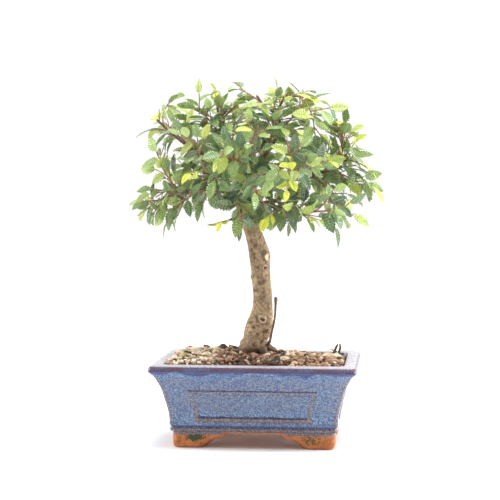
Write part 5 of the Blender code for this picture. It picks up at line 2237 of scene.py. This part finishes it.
@dataclass
class Studio:
    """A white floor and background, soft light from above and both sides, and the photo's camera."""

    focal: float = 1498.0
    frame_width: float = 500.0
    sensor: float = 36.0
    yaw: float = 5.7
    pitch: float = 2.68
    place: Place = (0.141, -1.498, 0.256)
    aim: Place = (0.0, 0.0, 0.18)
    reach: float = 9.0
    # The floor's painted glow: its strength and its colour near the plant.
    glow: float = 0.30
    dim: Colour = (0.12, 0.12, 0.12)
    white: Colour = (1.0, 1.0, 1.0)
    lamps: tuple[Lamp, ...] = (
        Lamp("top", (0.20, -0.05, 1.5), 0.9, 21.0),
        Lamp("right", (1.3, 0.1, 0.55), 0.7, 17.0),
        Lamp("left", (-1.4, 0.0, 0.6), 0.8, 14.0),
    )

    def camera(self) -> None:
        """Makes the camera."""
        data = bpy.data.cameras.new("camera")
        data.sensor_width = self.sensor
        data.lens = self.focal / self.frame_width * self.sensor
        data.clip_start = 0.01
        data.clip_end = 50.0
        made = bpy.data.objects.new("camera", data)
        made.location = Vector(self.place) + SHIFT
        made.rotation_euler = (math.radians(90.0 - self.pitch), 0.0, math.radians(self.yaw))
        bpy.context.scene.collection.objects.link(made)
        bpy.context.scene.camera = made

    def floor(self) -> None:
        """Makes the wide white floor, which glows away from the plant with painted light that washes out the shadows
        on it.
        """
        mesh = bpy.data.meshes.new("floor")
        signs = ((-1, -1), (1, -1), (1, 1), (-1, 1))
        mesh.from_pydata([(x * self.reach, y * self.reach, 0.0) for x, y in signs], [], [(0, 1, 2, 3)])
        g = Graph.of_material("white floor")
        grain = g.noise(g.spot(), 3.0)
        x, y, _ = g.split(g.spot())
        # Painted light: the floor glows dim near the plant and fully away from it, so a cast shadow stays only near
        # the pot.
        away = (x * x + y * y).fade(0.0085, 0.023)
        mesh.materials.append(g.skin({
            "Base Color": g.mix(grain, (0.92, 0.92, 0.92), (0.95, 0.95, 0.95)), "Roughness": 0.8,
            "Emission Color": g.mix(away, self.dim, self.white), "Emission Strength": self.glow,
        }))
        made = bpy.data.objects.new("floor", mesh)
        made.location.z = POT_LOW.z - 0.0002
        bpy.context.scene.collection.objects.link(made)

    def lamp(self, lamp: Lamp) -> None:
        """Makes one lamp, which points at the plant.

        Args:
            lamp: The lamp.
        """
        data = bpy.data.lights.new(lamp.name, "AREA")
        data.shape = "SQUARE"
        data.size = lamp.size
        data.energy = lamp.power
        made = bpy.data.objects.new(lamp.name, data)
        made.location = lamp.place
        made.rotation_euler = (Vector(self.aim) - made.location).to_track_quat("-Z", "Y").to_euler()
        bpy.context.scene.collection.objects.link(made)

    def world(self) -> None:
        """Makes the white surroundings, dimmer behind the camera."""
        world = bpy.data.worlds.new("studio")
        bpy.context.scene.world = world
        g = Graph(world)
        _, y, z = g.split(g.wire("ShaderNodeTexCoord", {}, {}, 0))
        bright = 0.36 + 0.68 * (y + z * 0.5).fade(-0.50, 0.40)
        background = g.tree.nodes["Background"]
        g.put(background.inputs["Color"], self.white)
        g.put(background.inputs["Strength"], bright)

    def build(self) -> None:
        """Sets up the studio."""
        self.camera()
        self.floor()
        self.world()
        for lamp in self.lamps:
            self.lamp(lamp)
        bpy.context.scene.view_settings.view_transform = "Standard"


def main() -> None:
    """Builds the dressed plant and its studio, in order."""
    logging.basicConfig(level=logging.INFO, format="%(name)s: %(message)s")
    Studio().build()
    Pot().build(Glaze().material())
    bark = Bark().material()
    Bed().build(Earth().material(), Stone().material(), bark)
    growth = Growth()
    growth.grow_wood(Draw(12))
    growth.grow_leaves(Draw(31))
    Wood(growth).build(bark)
    twig = TwigSkin("red twig", (0.17, 0.070, 0.042), (0.48, 0.27, 0.17)).material()
    stem = TwigSkin("green stem", (0.42, 0.38, 0.12), (0.60, 0.58, 0.20)).material()
    Foliage(growth).build(LeafSkin().material(), twig, stem)
    net = Plain("black mesh", (0.03, 0.03, 0.03), 0.6).material()
    for name in SCREENS:
        screen = frame["nodes"][name]
        screen.data.materials.clear()
        screen.data.materials.append(net)
        log.info("%s: kept, with its own finish", name)
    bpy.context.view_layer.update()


if __name__ == "__main__":
    main()
